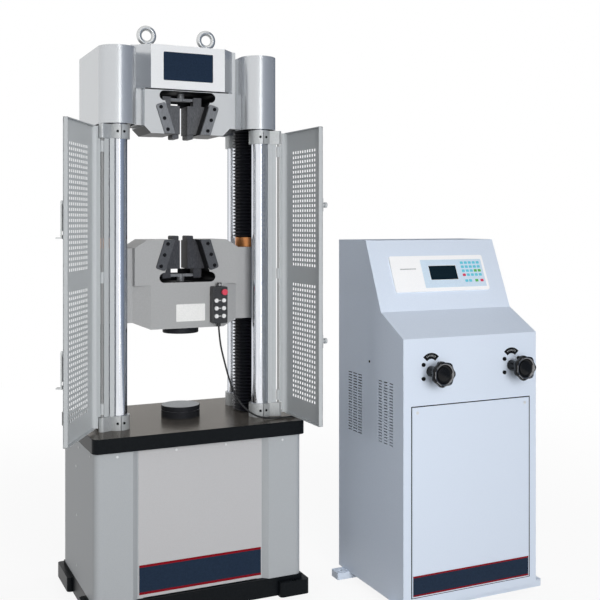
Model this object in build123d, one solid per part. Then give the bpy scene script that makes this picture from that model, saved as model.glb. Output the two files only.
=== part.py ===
from build123d import *
import math
import os

# Hydraulic universal testing machine: a four-column load frame and its control cabinet.
# Millimetres. X to the right, Y to the back, Z up, origin on the floor under the load frame's centre.

# Fits shared by every piece
running_fit = 0.08
assembly_fit = 0.1
slide_gap = 0.3
sheet = 3.0

# Base casting and housing
housing_half_x = 400.0
housing_half_y = 268.0
housing_corner_r = 27.0
base_height = 70.0
lug_reach_x = 20.0
lug_reach_y = 29.0
lug_width = 120.0
lug_length = 197.0
lug_height = 55.0
lug_corner_r = 14.0
anchor_hole_r = 8.0
anchor_inset_x = 60.0
anchor_inset_y = 14.0
recess_half_x = 262.0
recess_depth = 18.0
recess_slant = 20.0
panel_lip = 22.0
panel_margin = 3.0

# Work table
table_half_x = 409.0
table_half_y = 288.0
table_top = 662.0
table_thickness = 52.0
table_corner_r = 27.0
table_edge_chamfer = 2.0
table_gap = 4.0

# Columns, with their nuts
column_r = 32.5
column_x = 281.0
column_y = 131.0
column_nut_r = 46.0
column_nut_h = 36.0
column_tip = 14.0

# Lead screws and their chain drive
screw_r = 25.0
screw_hole_r = 33.0
screw_foot = 6.0
screw_top = 2030.0
bearing_side = 110.0
bearing_h = 42.0
sprocket_r = 56.0
sprocket_h = 12.0
sprocket_lift = 6.0
shoe_r = 16.0
shoe_clear = 2.0
motor_sprocket_r = 25.0
motor_shaft_r = 8.0
motor_x = 150.0
motor_clear = 10.0
motor_leg_x = 42.0
motor_leg_half = 8.0
motor_leg_back = 30.0
motor_r = 54.0
motor_h = 260.0
motor_gap = 6.0
chain_half_w = 5.0
chain_h = 10.0

# Main cylinder and ram
ram_r = 90.0
cylinder_r = 115.0
cylinder_flange_r = 145.0
cylinder_flange_h = 26.0
cylinder_floor = 34.0
cylinder_top = 560.0

# Upper crosshead
beam_bottom = 1790.0
beam_height = 200.0
head_top = 2094.0
head_front_y = -50.0
head_back_y = 90.0
grip_half_y = 90.0
upper_grip_z = 1758.0
upper_grip_top = 1928.0
upper_grip_half_x = 170.0
upper_grip_chamfer = 26.0
front_cover_half_x = 148.0
front_cover_y = -100.0
cover_r = 70.0
cover_nose_y = -112.0
cover_back_y = 211.0
cover_bottom = 1782.0
cover_top = 2067.0
cover_room = 2.0

# Lifting eyebolts
eye_x = 123.0
eye_y = 51.0
eye_ring_r = 29.5
eye_wire_r = 10.0
eye_collar_r = 21.0
eye_collar_h = 12.0
eye_neck_h = 16.0
eye_shank_r = 10.0
eye_shank_h = 30.0

# Wedge grips, measured from the mouth of each crosshead's pocket
wedge_angle = 18.0
jaw_gap = 30.0
jaw_foot = 35.0
jaw_height = 110.0
jaw_half_y = 40.0
jaw_inset = 4.0
jaw_open_travel = 12.0
finger_inner = 17.0
finger_outer = 42.0
finger_half_y = 30.0
finger_reach = 18.0
finger_corner_r = 5.0
hanger_inner = 46.0
hanger_outer = 79.0
hanger_half_y = 20.0
hanger_height = 37.0
hanger_foot = 22.0
bar_half_x = 76.0
bar_half_y = 14.0
bar_h = 10.0
pocket_depth = 164.0
pocket_room_half_x = 112.0
pocket_room_h = 38.0
rod_r = 15.0
rod_length = 130.0
rod_bore_spare = 20.0
plate_thickness = 14.0
plate_proud = 4.0
plate_set_back = 1.5
plate_width = 41.0
plate_low = 1.0
plate_high = 120.0
plate_corner_r = 9.0
plate_room = 1.0
plate_screw_r = 4.5
plate_screw_levels = (16.0, 58.0, 100.5)
plate_screw_share = 0.59

# Lower crosshead
lower_half_x = 330.0
lower_end_y = 60.0
lower_face_half_x = 208.0
lower_face_cut_x = 50.0
lower_face_cut_z = 31.0
lower_face_bottom = 1181.0
lower_grip_z = 1354.0
lower_end_top = 1322.0
lower_end_bottom = 1040.0
lower_bottom = 1014.0
lower_nose_half_x = 146.0
nut_flange_r = 48.0
nut_flange_h = 38.0
nut_r = 38.0
nut_h = 72.0

# Compression platens
platen_r = 75.0
platen_h = 45.0
platen_groove_z = 26.0
platen_groove = 3.0
top_platen_r = 70.0
top_platen_h = 24.0

# Bellows round the lead screws
bellows_half = 50.0
bellows_wall = 8.0
upper_bellows_head = 60.0
lower_bellows_head = 130.0

# Column clamps, guard posts and doors
clamp_r = 42.0
clamp_h = 52.0
clamp_split = 3.0
clamp_arm_half = 12.0
clamp_room = 2.0
top_clamp_drop = 4.0
hinge_x = 348.0
hinge_y = -161.0
hinge_rod_r = 4.0
hinge_slit = 1.5
strip_width = 21.0
strip_thickness = 5.0
strip_offset = 8.0
door_width = 312.0
door_offset = 36.0
door_sheet = 2.5
door_bend_r = 17.0
door_flange = 16.0
door_bottom = 674.0
door_top = 1770.0
door_open_left = 120.5
door_open_right = 91.0
sleeve_r = 7.0
sleeve_h = 40.0
sleeve_levels = (724.0, 1200.0, 1676.0)
slot_fields = (745.5, 1253.5)
slot_rows = 24
slot_pitch = 18.7
slot_height = 10.5
slot_inner = 58.0
slot_outer = 260.0
latch_levels = (985.0, 1484.0)
latch_edge = 12.0
latch_length = 118.0
latch_width = 18.0
latch_thickness = 5.0
latch_boss_r = 9.0
latch_boss_h = 5.0
latch_pin_r = 4.0
latch_tab = 16.0
catch_edge = 15.0
catch_plate_w = 24.0
catch_plate_h = 48.0
catch_stud_r = 5.0
catch_knob_r = 10.0
catch_knob_h = 10.0

# Hand pendant on the lower crosshead
pendant_left = 90.0
pendant_right = 148.0
pendant_depth = 40.0
pendant_bottom = 1031.0
pendant_top = 1172.0
pendant_corner_r = 6.0
pendant_peg_r = 5.0
pendant_lug_h = 15.0
pendant_lug_t = 8.0
button_r = 8.0
button_columns = (102.0, 132.0)
button_levels = (1059.0, 1089.0, 1119.0)
button_proud = 6.0
button_depth = 8.0
button_room = 5.0
stop_x = 133.0
stop_z = 1151.0
stop_head_r = 12.0
stop_head_h = 9.0
stop_stem_r = 6.0
stop_lift = 6.0
lamp_r = 5.0
lamp_proud = 3.0
gland_r = 8.0
gland_h = 14.0

# Pendant cable, laid by hand from the gland down to the table and over its right edge
cable_r = 3.5
cable_drop_points = (
    (119.0, -110.0, 1017.0),
    (122.0, -113.0, 962.0),
    (131.0, -122.0, 906.0),
    (142.0, -136.0, 850.0),
)
cable_tail_points = (
    (142.0, -136.0, 850.0),
    (153.0, -150.0, 794.0),
    (172.0, -176.0, 738.0),
    (203.0, -204.0, 697.0),
    (250.0, -216.0, 671.0),
    (306.0, -220.0, 665.8),
    (352.0, -223.0, 665.8),
    (390.0, -221.0, 665.8),
    (416.0, -212.0, 666.5),
    (426.0, -190.0, 652.0),
    (425.0, -162.0, 639.0),
    (424.0, -134.0, 636.0),
)
socket_r = 7.0
socket_length = 12.0
socket_block = 34.0
socket_half_h = 12.0

# Control cabinet
cabinet_x = 629.0
cabinet_front = -642.0
cabinet_width = 594.0
cabinet_depth = 504.0
cabinet_height = 1350.0
console_front_z = 998.0
console_foot_depth = 161.6
console_foot_z = 1082.0
console_top_depth = 281.0
foot_bar_h = 26.0
foot_bar_depth = 60.0
foot_bar_reach = 51.0
foot_bar_inset = 30.0
foot_hole_r = 7.0
foot_hole_inset = 25.0
access_inset = 36.0
access_bottom = 62.0
access_top = 750.0
access_lap = 12.0
bezel_left = 83.0
bezel_right = 516.0
bezel_low = 75.0
bezel_high = 223.0
bezel_thickness = 6.0
bezel_corner_r = 8.0
screen_left = 252.0
screen_right = 378.0
screen_low = 121.5
screen_high = 180.0
screen_glass = 2.0
wheel_half_pitch = 180.0
wheel_z = 877.0
wheel_plane = 81.0
wheel_r = 48.0
wheel_rim = 22.0
wheel_lobes = 7
wheel_scallop_r = 12.0
wheel_dish_r = 33.0
wheel_dish_h = 10.0
wheel_hub_r = 20.0
wheel_cap_r = 15.0
wheel_cap_h = 8.0
spindle_r = 10.0
spindle_inside = 60.0
valve_half = 42.0
valve_depth = 76.0
louvre_fields = ((-568.0, 596.0), (-332.0, 596.0))
louvre_columns = 3
louvre_rows = 22
louvre_width = 29.0
louvre_pitch_y = 40.5
louvre_pitch_z = 10.8
louvre_height = 4.0
tank_margin_x = 77.0
tank_margin_y = 87.0
tank_height = 330.0
tank_wall = 4.0
pump_motor_r = 85.0
pump_motor_h = 210.0
pump_r = 60.0
pump_h = 110.0

# Levels and places that follow from the driving dimensions
table_bottom = table_top - table_thickness
housing_top = table_bottom - table_gap
beam_top = beam_bottom + beam_height
head_half_x = column_x - cover_r
wedge_tan = math.tan(math.radians(wedge_angle))
wedge_cos = math.cos(math.radians(wedge_angle))
cabinet_mid_x = cabinet_x + cabinet_width / 2
cabinet_back = cabinet_front + cabinet_depth
recess_foot_x = recess_half_x - recess_slant
panel_seat = housing_half_y - recess_depth
motor_y = panel_seat - motor_clear - motor_r
motor_leg_y = motor_y + motor_leg_back
shoe_y = -cylinder_flange_r - shoe_clear - shoe_r
upper_bellows_split = beam_bottom - upper_bellows_head
lower_bellows_split = lower_end_bottom - lower_bellows_head
jaw_top = jaw_inset + jaw_height
bar_level = jaw_top + hanger_foot
plate_seat_y = grip_half_y + plate_proud - plate_thickness


def block(x0, x1, y0, y1, z0, z1):
    """Box between two opposite corners."""
    return Pos((x0 + x1) / 2, (y0 + y1) / 2, (z0 + z1) / 2) * Box(x1 - x0, y1 - y0, z1 - z0)


def post(x, y, z0, z1, r):
    """Upright cylinder."""
    return Pos(x, y, (z0 + z1) / 2) * Cylinder(r, z1 - z0)


def along_y(x, z, y0, y1, r):
    """Cylinder lying along Y."""
    return Pos(x, (y0 + y1) / 2, z) * Rot(90, 0, 0) * Cylinder(r, y1 - y0)


def along_x(y, z, x0, x1, r):
    """Cylinder lying along X."""
    return Pos((x0 + x1) / 2, y, z) * Rot(0, 90, 0) * Cylinder(r, x1 - x0)


def plan_prism(points, z0, z1):
    """Upright prism over a closed outline in plan."""
    return Pos(0, 0, z0) * extrude(make_face(Polyline(*points, close=True)), z1 - z0)


def front_prism(points, y0, y1):
    """Prism along Y over a closed outline seen from the front, as X and Z pairs."""
    face = Plane.XZ * make_face(Polyline(*points, close=True))
    return Pos(0, y1, 0) * extrude(face, y1 - y0)


def mirror_x(shape):
    """The same piece on the other side of the machine."""
    return mirror(shape, about=Plane.YZ)


def group(solids):
    """Several separate solids kept together as one node."""
    return Compound(children=list(solids))


def save(name, shape):
    """Write one node."""
    export_step(shape, f"parts/{name}.step")


def corners(x, y):
    """The four places symmetric about both mid planes."""
    return [(sx * x, sy * y) for sx in (-1, 1) for sy in (-1, 1)]


# Base casting with four anchor lugs
def make_base_casting():
    casting = block(-housing_half_x, housing_half_x, -housing_half_y, housing_half_y, 0, base_height)
    lug_x = housing_half_x + lug_reach_x - lug_width / 2
    lug_y = housing_half_y + lug_reach_y - lug_length / 2
    for x, y in corners(lug_x, lug_y):
        foot = Pos(x, y, 0) * extrude(RectangleRounded(lug_width, lug_length, lug_corner_r), lug_height)
        casting = casting + foot
    anchor_x = housing_half_x + lug_reach_x - anchor_inset_x
    anchor_y = housing_half_y + lug_reach_y - anchor_inset_y
    for x, y in corners(anchor_x, anchor_y):
        casting = casting - post(x, y, -1, lug_height + 1, anchor_hole_r)
    return casting


# Housing: two wrapped side shells, and a recessed panel front and back
def make_right_shell():
    width = housing_half_x - recess_half_x
    outer = Pos(recess_half_x + width / 2, 0) * Rectangle(width, 2 * housing_half_y)
    outer = fillet(outer.vertices().group_by(Axis.X)[-1], housing_corner_r)
    inner = Pos(recess_half_x + width / 2 - sheet, 0) * Rectangle(width, 2 * (housing_half_y - sheet))
    inner = fillet(inner.vertices().group_by(Axis.X)[-1], housing_corner_r - sheet)
    profile = outer - inner
    slope = recess_slant / recess_depth
    wall = sheet * math.hypot(1, slope)
    under = panel_seat - sheet
    for side in (-1, 1):
        flank = (
            (recess_half_x, side * housing_half_y),
            (recess_foot_x, side * panel_seat),
            (recess_foot_x - panel_lip, side * panel_seat),
            (recess_foot_x - panel_lip, side * under),
            (recess_foot_x + wall - slope * sheet, side * under),
            (recess_half_x + wall, side * housing_half_y),
        )
        profile = profile + make_face(Polyline(*flank, close=True))
    return Pos(0, 0, base_height) * extrude(profile, housing_top - base_height)


def make_panel(side):
    """Recessed panel on the housing lips; side is -1 in front and 1 at the back."""
    half = recess_foot_x - panel_margin
    near, far = sorted((side * panel_seat, side * (panel_seat + sheet)))
    return block(-half, half, near, far, base_height + panel_margin, housing_top - panel_margin)


# Main cylinder and ram
def make_main_cylinder():
    cylinder = post(0, 0, base_height, cylinder_top, cylinder_r)
    cylinder = cylinder + post(0, 0, base_height, base_height + cylinder_flange_h, cylinder_flange_r)
    return cylinder - post(0, 0, base_height + cylinder_floor, cylinder_top + 1, ram_r + running_fit)


def make_ram():
    return post(0, 0, base_height + cylinder_floor + slide_gap, table_bottom, ram_r)


# Lead screws with their sprockets, bearings, chain and motor
sprocket_z = base_height + bearing_h + sprocket_lift
chain_z = sprocket_z + (sprocket_h - chain_h) / 2


def make_lead_screw(x):
    spindle = post(x, 0, base_height + screw_foot, screw_top, screw_r)
    spindle = chamfer(spindle.edges().sort_by(Axis.Z)[-1:], screw_r / 8)
    return spindle + post(x, 0, sprocket_z, sprocket_z + sprocket_h, sprocket_r)


def make_screw_bearing(x):
    half = bearing_side / 2
    housing = block(x - half, x + half, -half, half, base_height, base_height + bearing_h)
    floor = base_height + screw_foot - slide_gap
    return housing - post(x, 0, floor, base_height + bearing_h + 1, screw_r + running_fit)


def chain_outline(extra):
    """Outline of the chain round both screw sprockets, the front shoe and the motor sprocket."""
    wheels = [
        Pos(-column_x, 0) * Circle(sprocket_r + extra),
        Pos(column_x, 0) * Circle(sprocket_r + extra),
        Pos(0, shoe_y) * Circle(shoe_r + extra),
        Pos(motor_x, motor_y) * Circle(motor_sprocket_r + extra),
    ]
    edges = [edge for wheel in wheels for edge in wheel.edges()]
    return make_hull(edges)


def make_drive_chain():
    ring = chain_outline(slide_gap + 2 * chain_half_w) - chain_outline(slide_gap)
    return Pos(0, 0, chain_z) * extrude(ring, chain_h)


def make_chain_shoe():
    """Fixed shoe that leads the chain round the front of the main cylinder."""
    return post(0, shoe_y, base_height, sprocket_z + sprocket_h, shoe_r)


motor_bottom = sprocket_z + sprocket_h + motor_gap


def make_drive_motor():
    motor = post(motor_x, motor_y, motor_bottom, motor_bottom + motor_h, motor_r)
    motor = chamfer(motor.edges().sort_by(Axis.Z)[-1:], motor_r / 6)
    for side in (-1, 1):
        x = motor_x + side * motor_leg_x
        near = x - motor_leg_half
        far = x + motor_leg_half
        leg_top = motor_bottom + motor_leg_x
        motor = motor + block(near, far, motor_leg_y, motor_y + motor_r, base_height, leg_top)
    bore_r = motor_shaft_r + running_fit
    return motor - post(motor_x, motor_y, motor_bottom - 1, motor_bottom + motor_r, bore_r)


def make_motor_sprocket():
    wheel = post(motor_x, motor_y, sprocket_z, sprocket_z + sprocket_h, motor_sprocket_r)
    return wheel + post(motor_x, motor_y, sprocket_z, motor_bottom + motor_r - 1, motor_shaft_r)


# Work table, columns and column nuts
def make_work_table():
    slab = extrude(RectangleRounded(2 * table_half_x, 2 * table_half_y, table_corner_r), table_thickness)
    slab = chamfer(slab.faces().sort_by(Axis.Z)[-1].edges(), table_edge_chamfer)
    slab = Pos(0, 0, table_bottom) * slab
    for x, y in corners(column_x, column_y):
        slab = slab - post(x, y, table_bottom - 1, table_top + 1, column_r + assembly_fit)
    for x in (-column_x, column_x):
        slab = slab - post(x, 0, table_bottom - 1, table_top + 1, screw_hole_r)
    x, y, z = cable_tail_points[-1]
    mouth = y + socket_length
    slab = slab + block(
        table_half_x - 1, x + socket_half_h, mouth, mouth + socket_block, z - socket_half_h, z + socket_half_h
    )
    slab = slab + along_y(x, z, y, mouth + 1, socket_r)
    return slab - along_y(x, z, y - 1, mouth + socket_length, cable_r + slide_gap)


column_bottom = table_bottom - column_nut_h
column_top = beam_top + column_nut_h + column_tip


def make_columns():
    columns = []
    for x, y in corners(column_x, column_y):
        rod = post(x, y, column_bottom, column_top, column_r)
        columns.append(chamfer(rod.edges().group_by(Axis.Z)[-1], column_tip / 4))
    return group(columns)


def make_column_nuts():
    nuts = []
    for x, y in corners(column_x, column_y):
        for low in (column_bottom, beam_top):
            hexagon = RegularPolygon(column_nut_r, 6) - Circle(column_r + assembly_fit)
            nuts.append(Pos(x, y, low) * extrude(hexagon, column_nut_h))
    return group(nuts)


# Upper crosshead: beam, grip block and sheet covers
def cover_plan(inset):
    """Plan of the right column cover, drawn in by an inset: a round nose and straight flanks."""
    r = cover_r - inset
    flank = cover_back_y - inset - cover_nose_y
    nose = Pos(column_x, cover_nose_y) * Circle(r)
    return nose + Pos(column_x, cover_nose_y + flank / 2) * Rectangle(2 * r, flank)


def wedge_wall(level):
    """Half width of the pocket at a level above its mouth."""
    return jaw_gap / 2 + jaw_foot + slide_gap / wedge_cos + (level - jaw_inset) * wedge_tan


def grip_pocket():
    """Wedge-shaped pocket through the block, mouth at level 0, with a wide rounded room for the link bar."""
    room_mid = pocket_depth - pocket_room_h / 2
    below = wedge_wall(-1)
    at_room = wedge_wall(room_mid)
    outline = Polyline((-below, -1), (below, -1), (at_room, room_mid), (-at_room, room_mid), close=True)
    face = make_face(outline) + Pos(0, room_mid) * SlotOverall(2 * pocket_room_half_x, pocket_room_h)
    reach = grip_half_y + 1
    return Pos(0, reach, 0) * extrude(Plane.XZ * face, 2 * reach)


def grip_bore():
    """Blind bore above the pocket for the pull rod of the link bar."""
    floor = bar_level + bar_h + rod_length + jaw_open_travel + rod_bore_spare
    return post(0, 0, pocket_depth - 1, floor, rod_r + running_fit)


def make_jaw():
    """Right wedge jaw, mouth at level 0, with a finger lug and the hanger that slides on the link bar."""
    foot = jaw_gap / 2 + jaw_foot
    outline = (
        (jaw_gap / 2, jaw_inset),
        (foot, jaw_inset),
        (foot + jaw_height * wedge_tan, jaw_top),
        (jaw_gap / 2, jaw_top),
    )
    wedge = front_prism(outline, -jaw_half_y, jaw_half_y)
    finger_low = jaw_inset - finger_reach
    finger = block(finger_inner, finger_outer, -finger_half_y, finger_half_y, finger_low, jaw_inset)
    finger = fillet(finger.faces().sort_by(Axis.Z)[0].edges().filter_by(Axis.Y), finger_corner_r)
    hanger_top = jaw_top + hanger_height
    hanger = block(hanger_inner, hanger_outer, -hanger_half_y, hanger_half_y, jaw_top, hanger_top)
    window_y = bar_half_y + slide_gap
    window_low = bar_level - slide_gap
    window_high = bar_level + bar_h + slide_gap
    window = block(hanger_inner - 1, hanger_outer + 1, -window_y, window_y, window_low, window_high)
    return wedge + finger + (hanger - window)


def make_link_bar():
    """Link bar through both hangers, with its pull rod."""
    bar = block(-bar_half_x, bar_half_x, -bar_half_y, bar_half_y, bar_level, bar_level + bar_h)
    return bar + post(0, 0, bar_level, bar_level + bar_h + rod_length, rod_r)


def plate_outline(room):
    """Slanted plate beside the pocket, right side, drawn out by some room: X and level pairs."""
    low = plate_low - 2 * room
    high = plate_high + room
    across = plate_width + 2 * room
    inner = wedge_wall(low) + plate_set_back - room
    top = wedge_wall(high) + plate_set_back - room
    side_step = across * wedge_cos
    return (
        (inner, low),
        (inner + across, low),
        (top + side_step * wedge_cos, high - side_step * wedge_cos * wedge_tan),
        (top, high),
    )


def plate_prism(outline, corner_r):
    """Plate between its seat and its outer face, in front."""
    face = make_face(Polyline(*outline, close=True))
    face = fillet(face.vertices().group_by(Axis.Y)[-1] + face.vertices().group_by(Axis.Y)[-2], corner_r)
    return Pos(0, -plate_seat_y, 0) * extrude(Plane.XZ * face, plate_thickness)


def all_four(shape):
    """The same piece on both sides of the pocket, in front and behind."""
    pair = [shape, mirror_x(shape)]
    return pair + [mirror(piece, about=Plane.XZ) for piece in pair]


def make_grip_plates():
    """Four slanted plates beside the pocket, two in front and two behind, with their screw holes."""
    plate = plate_prism(plate_outline(0), plate_corner_r)
    far = plate_seat_y + plate_thickness
    for level in plate_screw_levels:
        x = wedge_wall(level) + plate_set_back + plate_screw_share * plate_width
        plate = plate - along_y(x, level, -far - 1, -plate_seat_y + 1, plate_screw_r)
    return group(all_four(plate))


def plate_recesses():
    """Recesses for the four plates, open into the pocket and at the mouth."""
    low = plate_low - 2 * plate_room
    bed = plate_prism(plate_outline(plate_room), plate_corner_r)
    inlet = (
        (0, low),
        (wedge_wall(low) + 2 * plate_set_back, low),
        (wedge_wall(plate_high) + plate_set_back, plate_high - plate_corner_r),
        (0, plate_high - plate_corner_r),
    )
    bed = bed + front_prism(inlet, -plate_seat_y - plate_thickness, -plate_seat_y)
    return all_four(bed)


def at_upper(shape):
    """Place a grip piece in the upper crosshead, mouth downward."""
    return Pos(0, 0, upper_grip_z) * shape


def at_lower(shape):
    """Place a grip piece in the lower crosshead, mouth upward."""
    return Pos(0, 0, lower_grip_z) * mirror(shape, about=Plane.XY)


def make_upper_crosshead():
    centre = block(-head_half_x, head_half_x, head_front_y, head_back_y, beam_bottom, head_top)
    reach = upper_grip_half_x
    cut = upper_grip_chamfer
    outline = (
        (-reach + cut, upper_grip_z),
        (reach - cut, upper_grip_z),
        (reach, upper_grip_z + cut),
        (reach, upper_grip_top),
        (-reach, upper_grip_top),
        (-reach, upper_grip_z + cut),
    )
    casting = centre + front_prism(outline, -grip_half_y, grip_half_y)
    casting = casting + block(-column_x, column_x, head_front_y, head_back_y, beam_bottom, beam_top)
    end = Pos(0, 0, beam_bottom) * extrude(cover_plan(sheet + cover_room), beam_height)
    casting = casting + end + mirror_x(end)
    casting = casting - at_upper(grip_pocket()) - at_upper(grip_bore())
    casting = casting - [at_upper(recess) for recess in plate_recesses()]
    for x, y in corners(column_x, column_y):
        casting = casting - post(x, y, beam_bottom - 1, beam_top + 1, column_r + assembly_fit)
    for x in (-column_x, column_x):
        casting = casting - post(x, 0, beam_bottom - 1, beam_top + 1, screw_hole_r)
    for x in (-eye_x, eye_x):
        eye_floor = head_top - eye_shank_h - 1
        casting = casting - post(x, eye_y, eye_floor, head_top + 1, eye_shank_r + assembly_fit)
    return casting


def make_right_cover():
    """Sheet cover over the right column heads, open below and where the beam enters."""
    shell = Pos(0, 0, cover_bottom) * extrude(cover_plan(0), cover_top - cover_bottom)
    hollow = Pos(0, 0, cover_bottom - 1) * extrude(cover_plan(sheet), cover_top - cover_bottom - sheet + 1)
    shell = shell - hollow
    doorway = block(
        head_half_x - 1,
        head_half_x + sheet + 1,
        head_front_y - 1,
        head_back_y + 1,
        cover_bottom - 1,
        beam_top + 1,
    )
    return shell - doorway


def make_front_cover():
    """White cover over the grip actuator, with slanted flanks, open towards the casting."""
    slant = head_front_y - front_cover_y
    base = front_cover_half_x + slant
    skew = sheet * math.tan(math.radians(22.5))
    outer = (
        (-base, head_front_y),
        (-front_cover_half_x, front_cover_y),
        (front_cover_half_x, front_cover_y),
        (base, head_front_y),
    )
    inner_nose = front_cover_half_x - skew
    inner_base = inner_nose + slant - sheet + 1
    inner = (
        (-inner_base, head_front_y + 1),
        (-inner_nose, front_cover_y + sheet),
        (inner_nose, front_cover_y + sheet),
        (inner_base, head_front_y + 1),
    )
    shell = plan_prism(outer, upper_grip_top, head_top)
    return shell - plan_prism(inner, upper_grip_top + sheet, head_top - sheet)


def make_eyebolt(x):
    ring_z = head_top + eye_collar_h + eye_neck_h - eye_wire_r / 2 + eye_ring_r + eye_wire_r / 2
    ring = Pos(x, eye_y, ring_z) * Rot(90, 0, 0) * Torus(eye_ring_r, eye_wire_r)
    collar = post(x, eye_y, head_top, head_top + eye_collar_h, eye_collar_r)
    neck = post(x, eye_y, head_top, ring_z - eye_ring_r, 1.2 * eye_wire_r)
    shank = post(x, eye_y, head_top - eye_shank_h, head_top + 1, eye_shank_r)
    return ring + collar + neck + shank


# Lower crosshead, nuts and platens
def make_lower_crosshead():
    nose = lower_nose_half_x
    face = lower_face_half_x
    cut_x = lower_face_cut_x
    cut_z = lower_face_cut_z
    silhouette = (
        (-lower_half_x, lower_end_bottom),
        (-face, lower_end_bottom),
        (-nose, lower_bottom),
        (nose, lower_bottom),
        (face, lower_end_bottom),
        (lower_half_x, lower_end_bottom),
        (lower_half_x, lower_end_top),
        (face, lower_end_top),
        (face, lower_grip_z - cut_z),
        (face - cut_x, lower_grip_z),
        (-face + cut_x, lower_grip_z),
        (-face, lower_grip_z - cut_z),
        (-face, lower_end_top),
        (-lower_half_x, lower_end_top),
    )
    outline = front_prism(silhouette, -grip_half_y, grip_half_y)
    lower_plan = (
        (-lower_half_x, -lower_end_y),
        (-face, -lower_end_y),
        (-nose, -grip_half_y),
        (nose, -grip_half_y),
        (face, -lower_end_y),
        (lower_half_x, -lower_end_y),
        (lower_half_x, lower_end_y),
        (face, lower_end_y),
        (nose, grip_half_y),
        (-nose, grip_half_y),
        (-face, lower_end_y),
        (-lower_half_x, lower_end_y),
    )
    body = plan_prism(lower_plan, lower_bottom - 1, lower_grip_z)
    head = block(-face, face, -grip_half_y, grip_half_y, lower_face_bottom, lower_grip_z + 1)
    casting = outline & (body + head)
    casting = casting - at_lower(grip_pocket()) - at_lower(grip_bore())
    casting = casting - [at_lower(recess) for recess in plate_recesses()]
    for x in (-column_x, column_x):
        casting = casting - post(x, 0, lower_end_bottom - 1, lower_end_top + 1, screw_hole_r)
        casting = casting - post(x, 0, lower_end_top - nut_h, lower_end_top + 1, nut_r + assembly_fit)
    peg_z = pendant_top + pendant_lug_h / 2
    peg_x = (pendant_left + pendant_right) / 2
    peg_end = pendant_lug_t - grip_half_y - pendant_depth
    return casting + along_y(peg_x, peg_z, peg_end, -grip_half_y + 1, pendant_peg_r)


def make_screw_nuts():
    nuts = []
    for x in (-column_x, column_x):
        nut = post(x, 0, lower_end_top - nut_h, lower_end_top + 1, nut_r)
        nut = nut + post(x, 0, lower_end_top, lower_end_top + nut_flange_h, nut_flange_r)
        bore = post(x, 0, lower_end_top - nut_h - 1, lower_end_top + nut_flange_h + 1, screw_r + running_fit)
        nuts.append(nut - bore)
    return group(nuts)


def make_lower_platen():
    disc = post(0, 0, table_top, table_top + platen_h, platen_r)
    ring_z = table_top + platen_groove_z
    groove = post(0, 0, ring_z, ring_z + platen_groove, platen_r + 1)
    groove = groove - post(0, 0, ring_z - 1, ring_z + platen_groove + 1, platen_r - platen_groove)
    disc = disc - groove
    return chamfer(disc.edges().group_by(Axis.Z)[-1], platen_groove / 2)


def make_upper_platen():
    disc = post(0, 0, lower_bottom - top_platen_h, lower_bottom, top_platen_r)
    return chamfer(disc.edges().group_by(Axis.Z)[0], platen_groove / 2)


# Bellows
def make_bellows(z0, z1):
    """Pair of square sleeves round the lead screws between two levels."""
    sleeves = []
    inner = bellows_half - bellows_wall
    for x in (-column_x, column_x):
        sleeve = block(x - bellows_half, x + bellows_half, -bellows_half, bellows_half, z0, z1)
        sleeves.append(sleeve - block(x - inner, x + inner, -inner, inner, z0 - 1, z1 + 1))
    return group(sleeves)


# Column clamps, guard posts and doors
arm_dx = hinge_x - column_x
arm_dy = hinge_y + column_y
arm_length = math.hypot(arm_dx, arm_dy)
arm_angle = math.degrees(math.atan2(arm_dy, arm_dx))
top_clamp_z = cover_bottom - top_clamp_drop - clamp_h


def clamp_ring():
    """Plan of a plain clamp round a column."""
    return Circle(clamp_r) - Circle(column_r + assembly_fit)


def make_front_clamp(low):
    """Right front clamp: split ring with an arm out to the hinge rod."""
    arm = Pos(arm_length / 2, 0) * Rectangle(arm_length, 2 * clamp_arm_half)
    arm = arm + Pos(arm_length, 0) * Circle(clamp_arm_half)
    arm = arm - Pos(arm_length, 0) * Circle(hinge_rod_r + assembly_fit)
    plan = (Circle(clamp_r) + arm) - Circle(column_r + assembly_fit)
    split = Pos(0, -clamp_r / 2) * Rectangle(clamp_split, clamp_r + 1)
    plan = Rot(0, 0, arm_angle) * plan - split
    return Pos(column_x, -column_y, low) * extrude(plan, clamp_h)


def make_rear_clamp(low):
    split = Pos(0, -clamp_r / 2) * Rectangle(clamp_split, clamp_r + 1)
    return Pos(column_x, column_y, low) * extrude(clamp_ring() - split, clamp_h)


def make_column_clamps():
    clamps = []
    for low in (table_top, top_clamp_z):
        for clamp in (make_front_clamp(low), make_rear_clamp(low)):
            clamps.append(clamp)
            clamps.append(mirror_x(clamp))
    return group(clamps)


def make_guard_posts():
    """Hinge rod and flat strip on each side, held between the upper and lower clamp arms."""
    strip = Pos(arm_length - strip_offset - strip_width / 2, 0) * Rectangle(strip_width, strip_thickness)
    low = table_top + clamp_h
    strip = Pos(column_x, -column_y, low) * extrude(Rot(0, 0, arm_angle) * strip, top_clamp_z - low)
    rod = post(hinge_x, hinge_y, table_top, top_clamp_z + clamp_h, hinge_rod_r)
    return group([strip, mirror_x(strip), rod, mirror_x(rod)])


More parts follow.
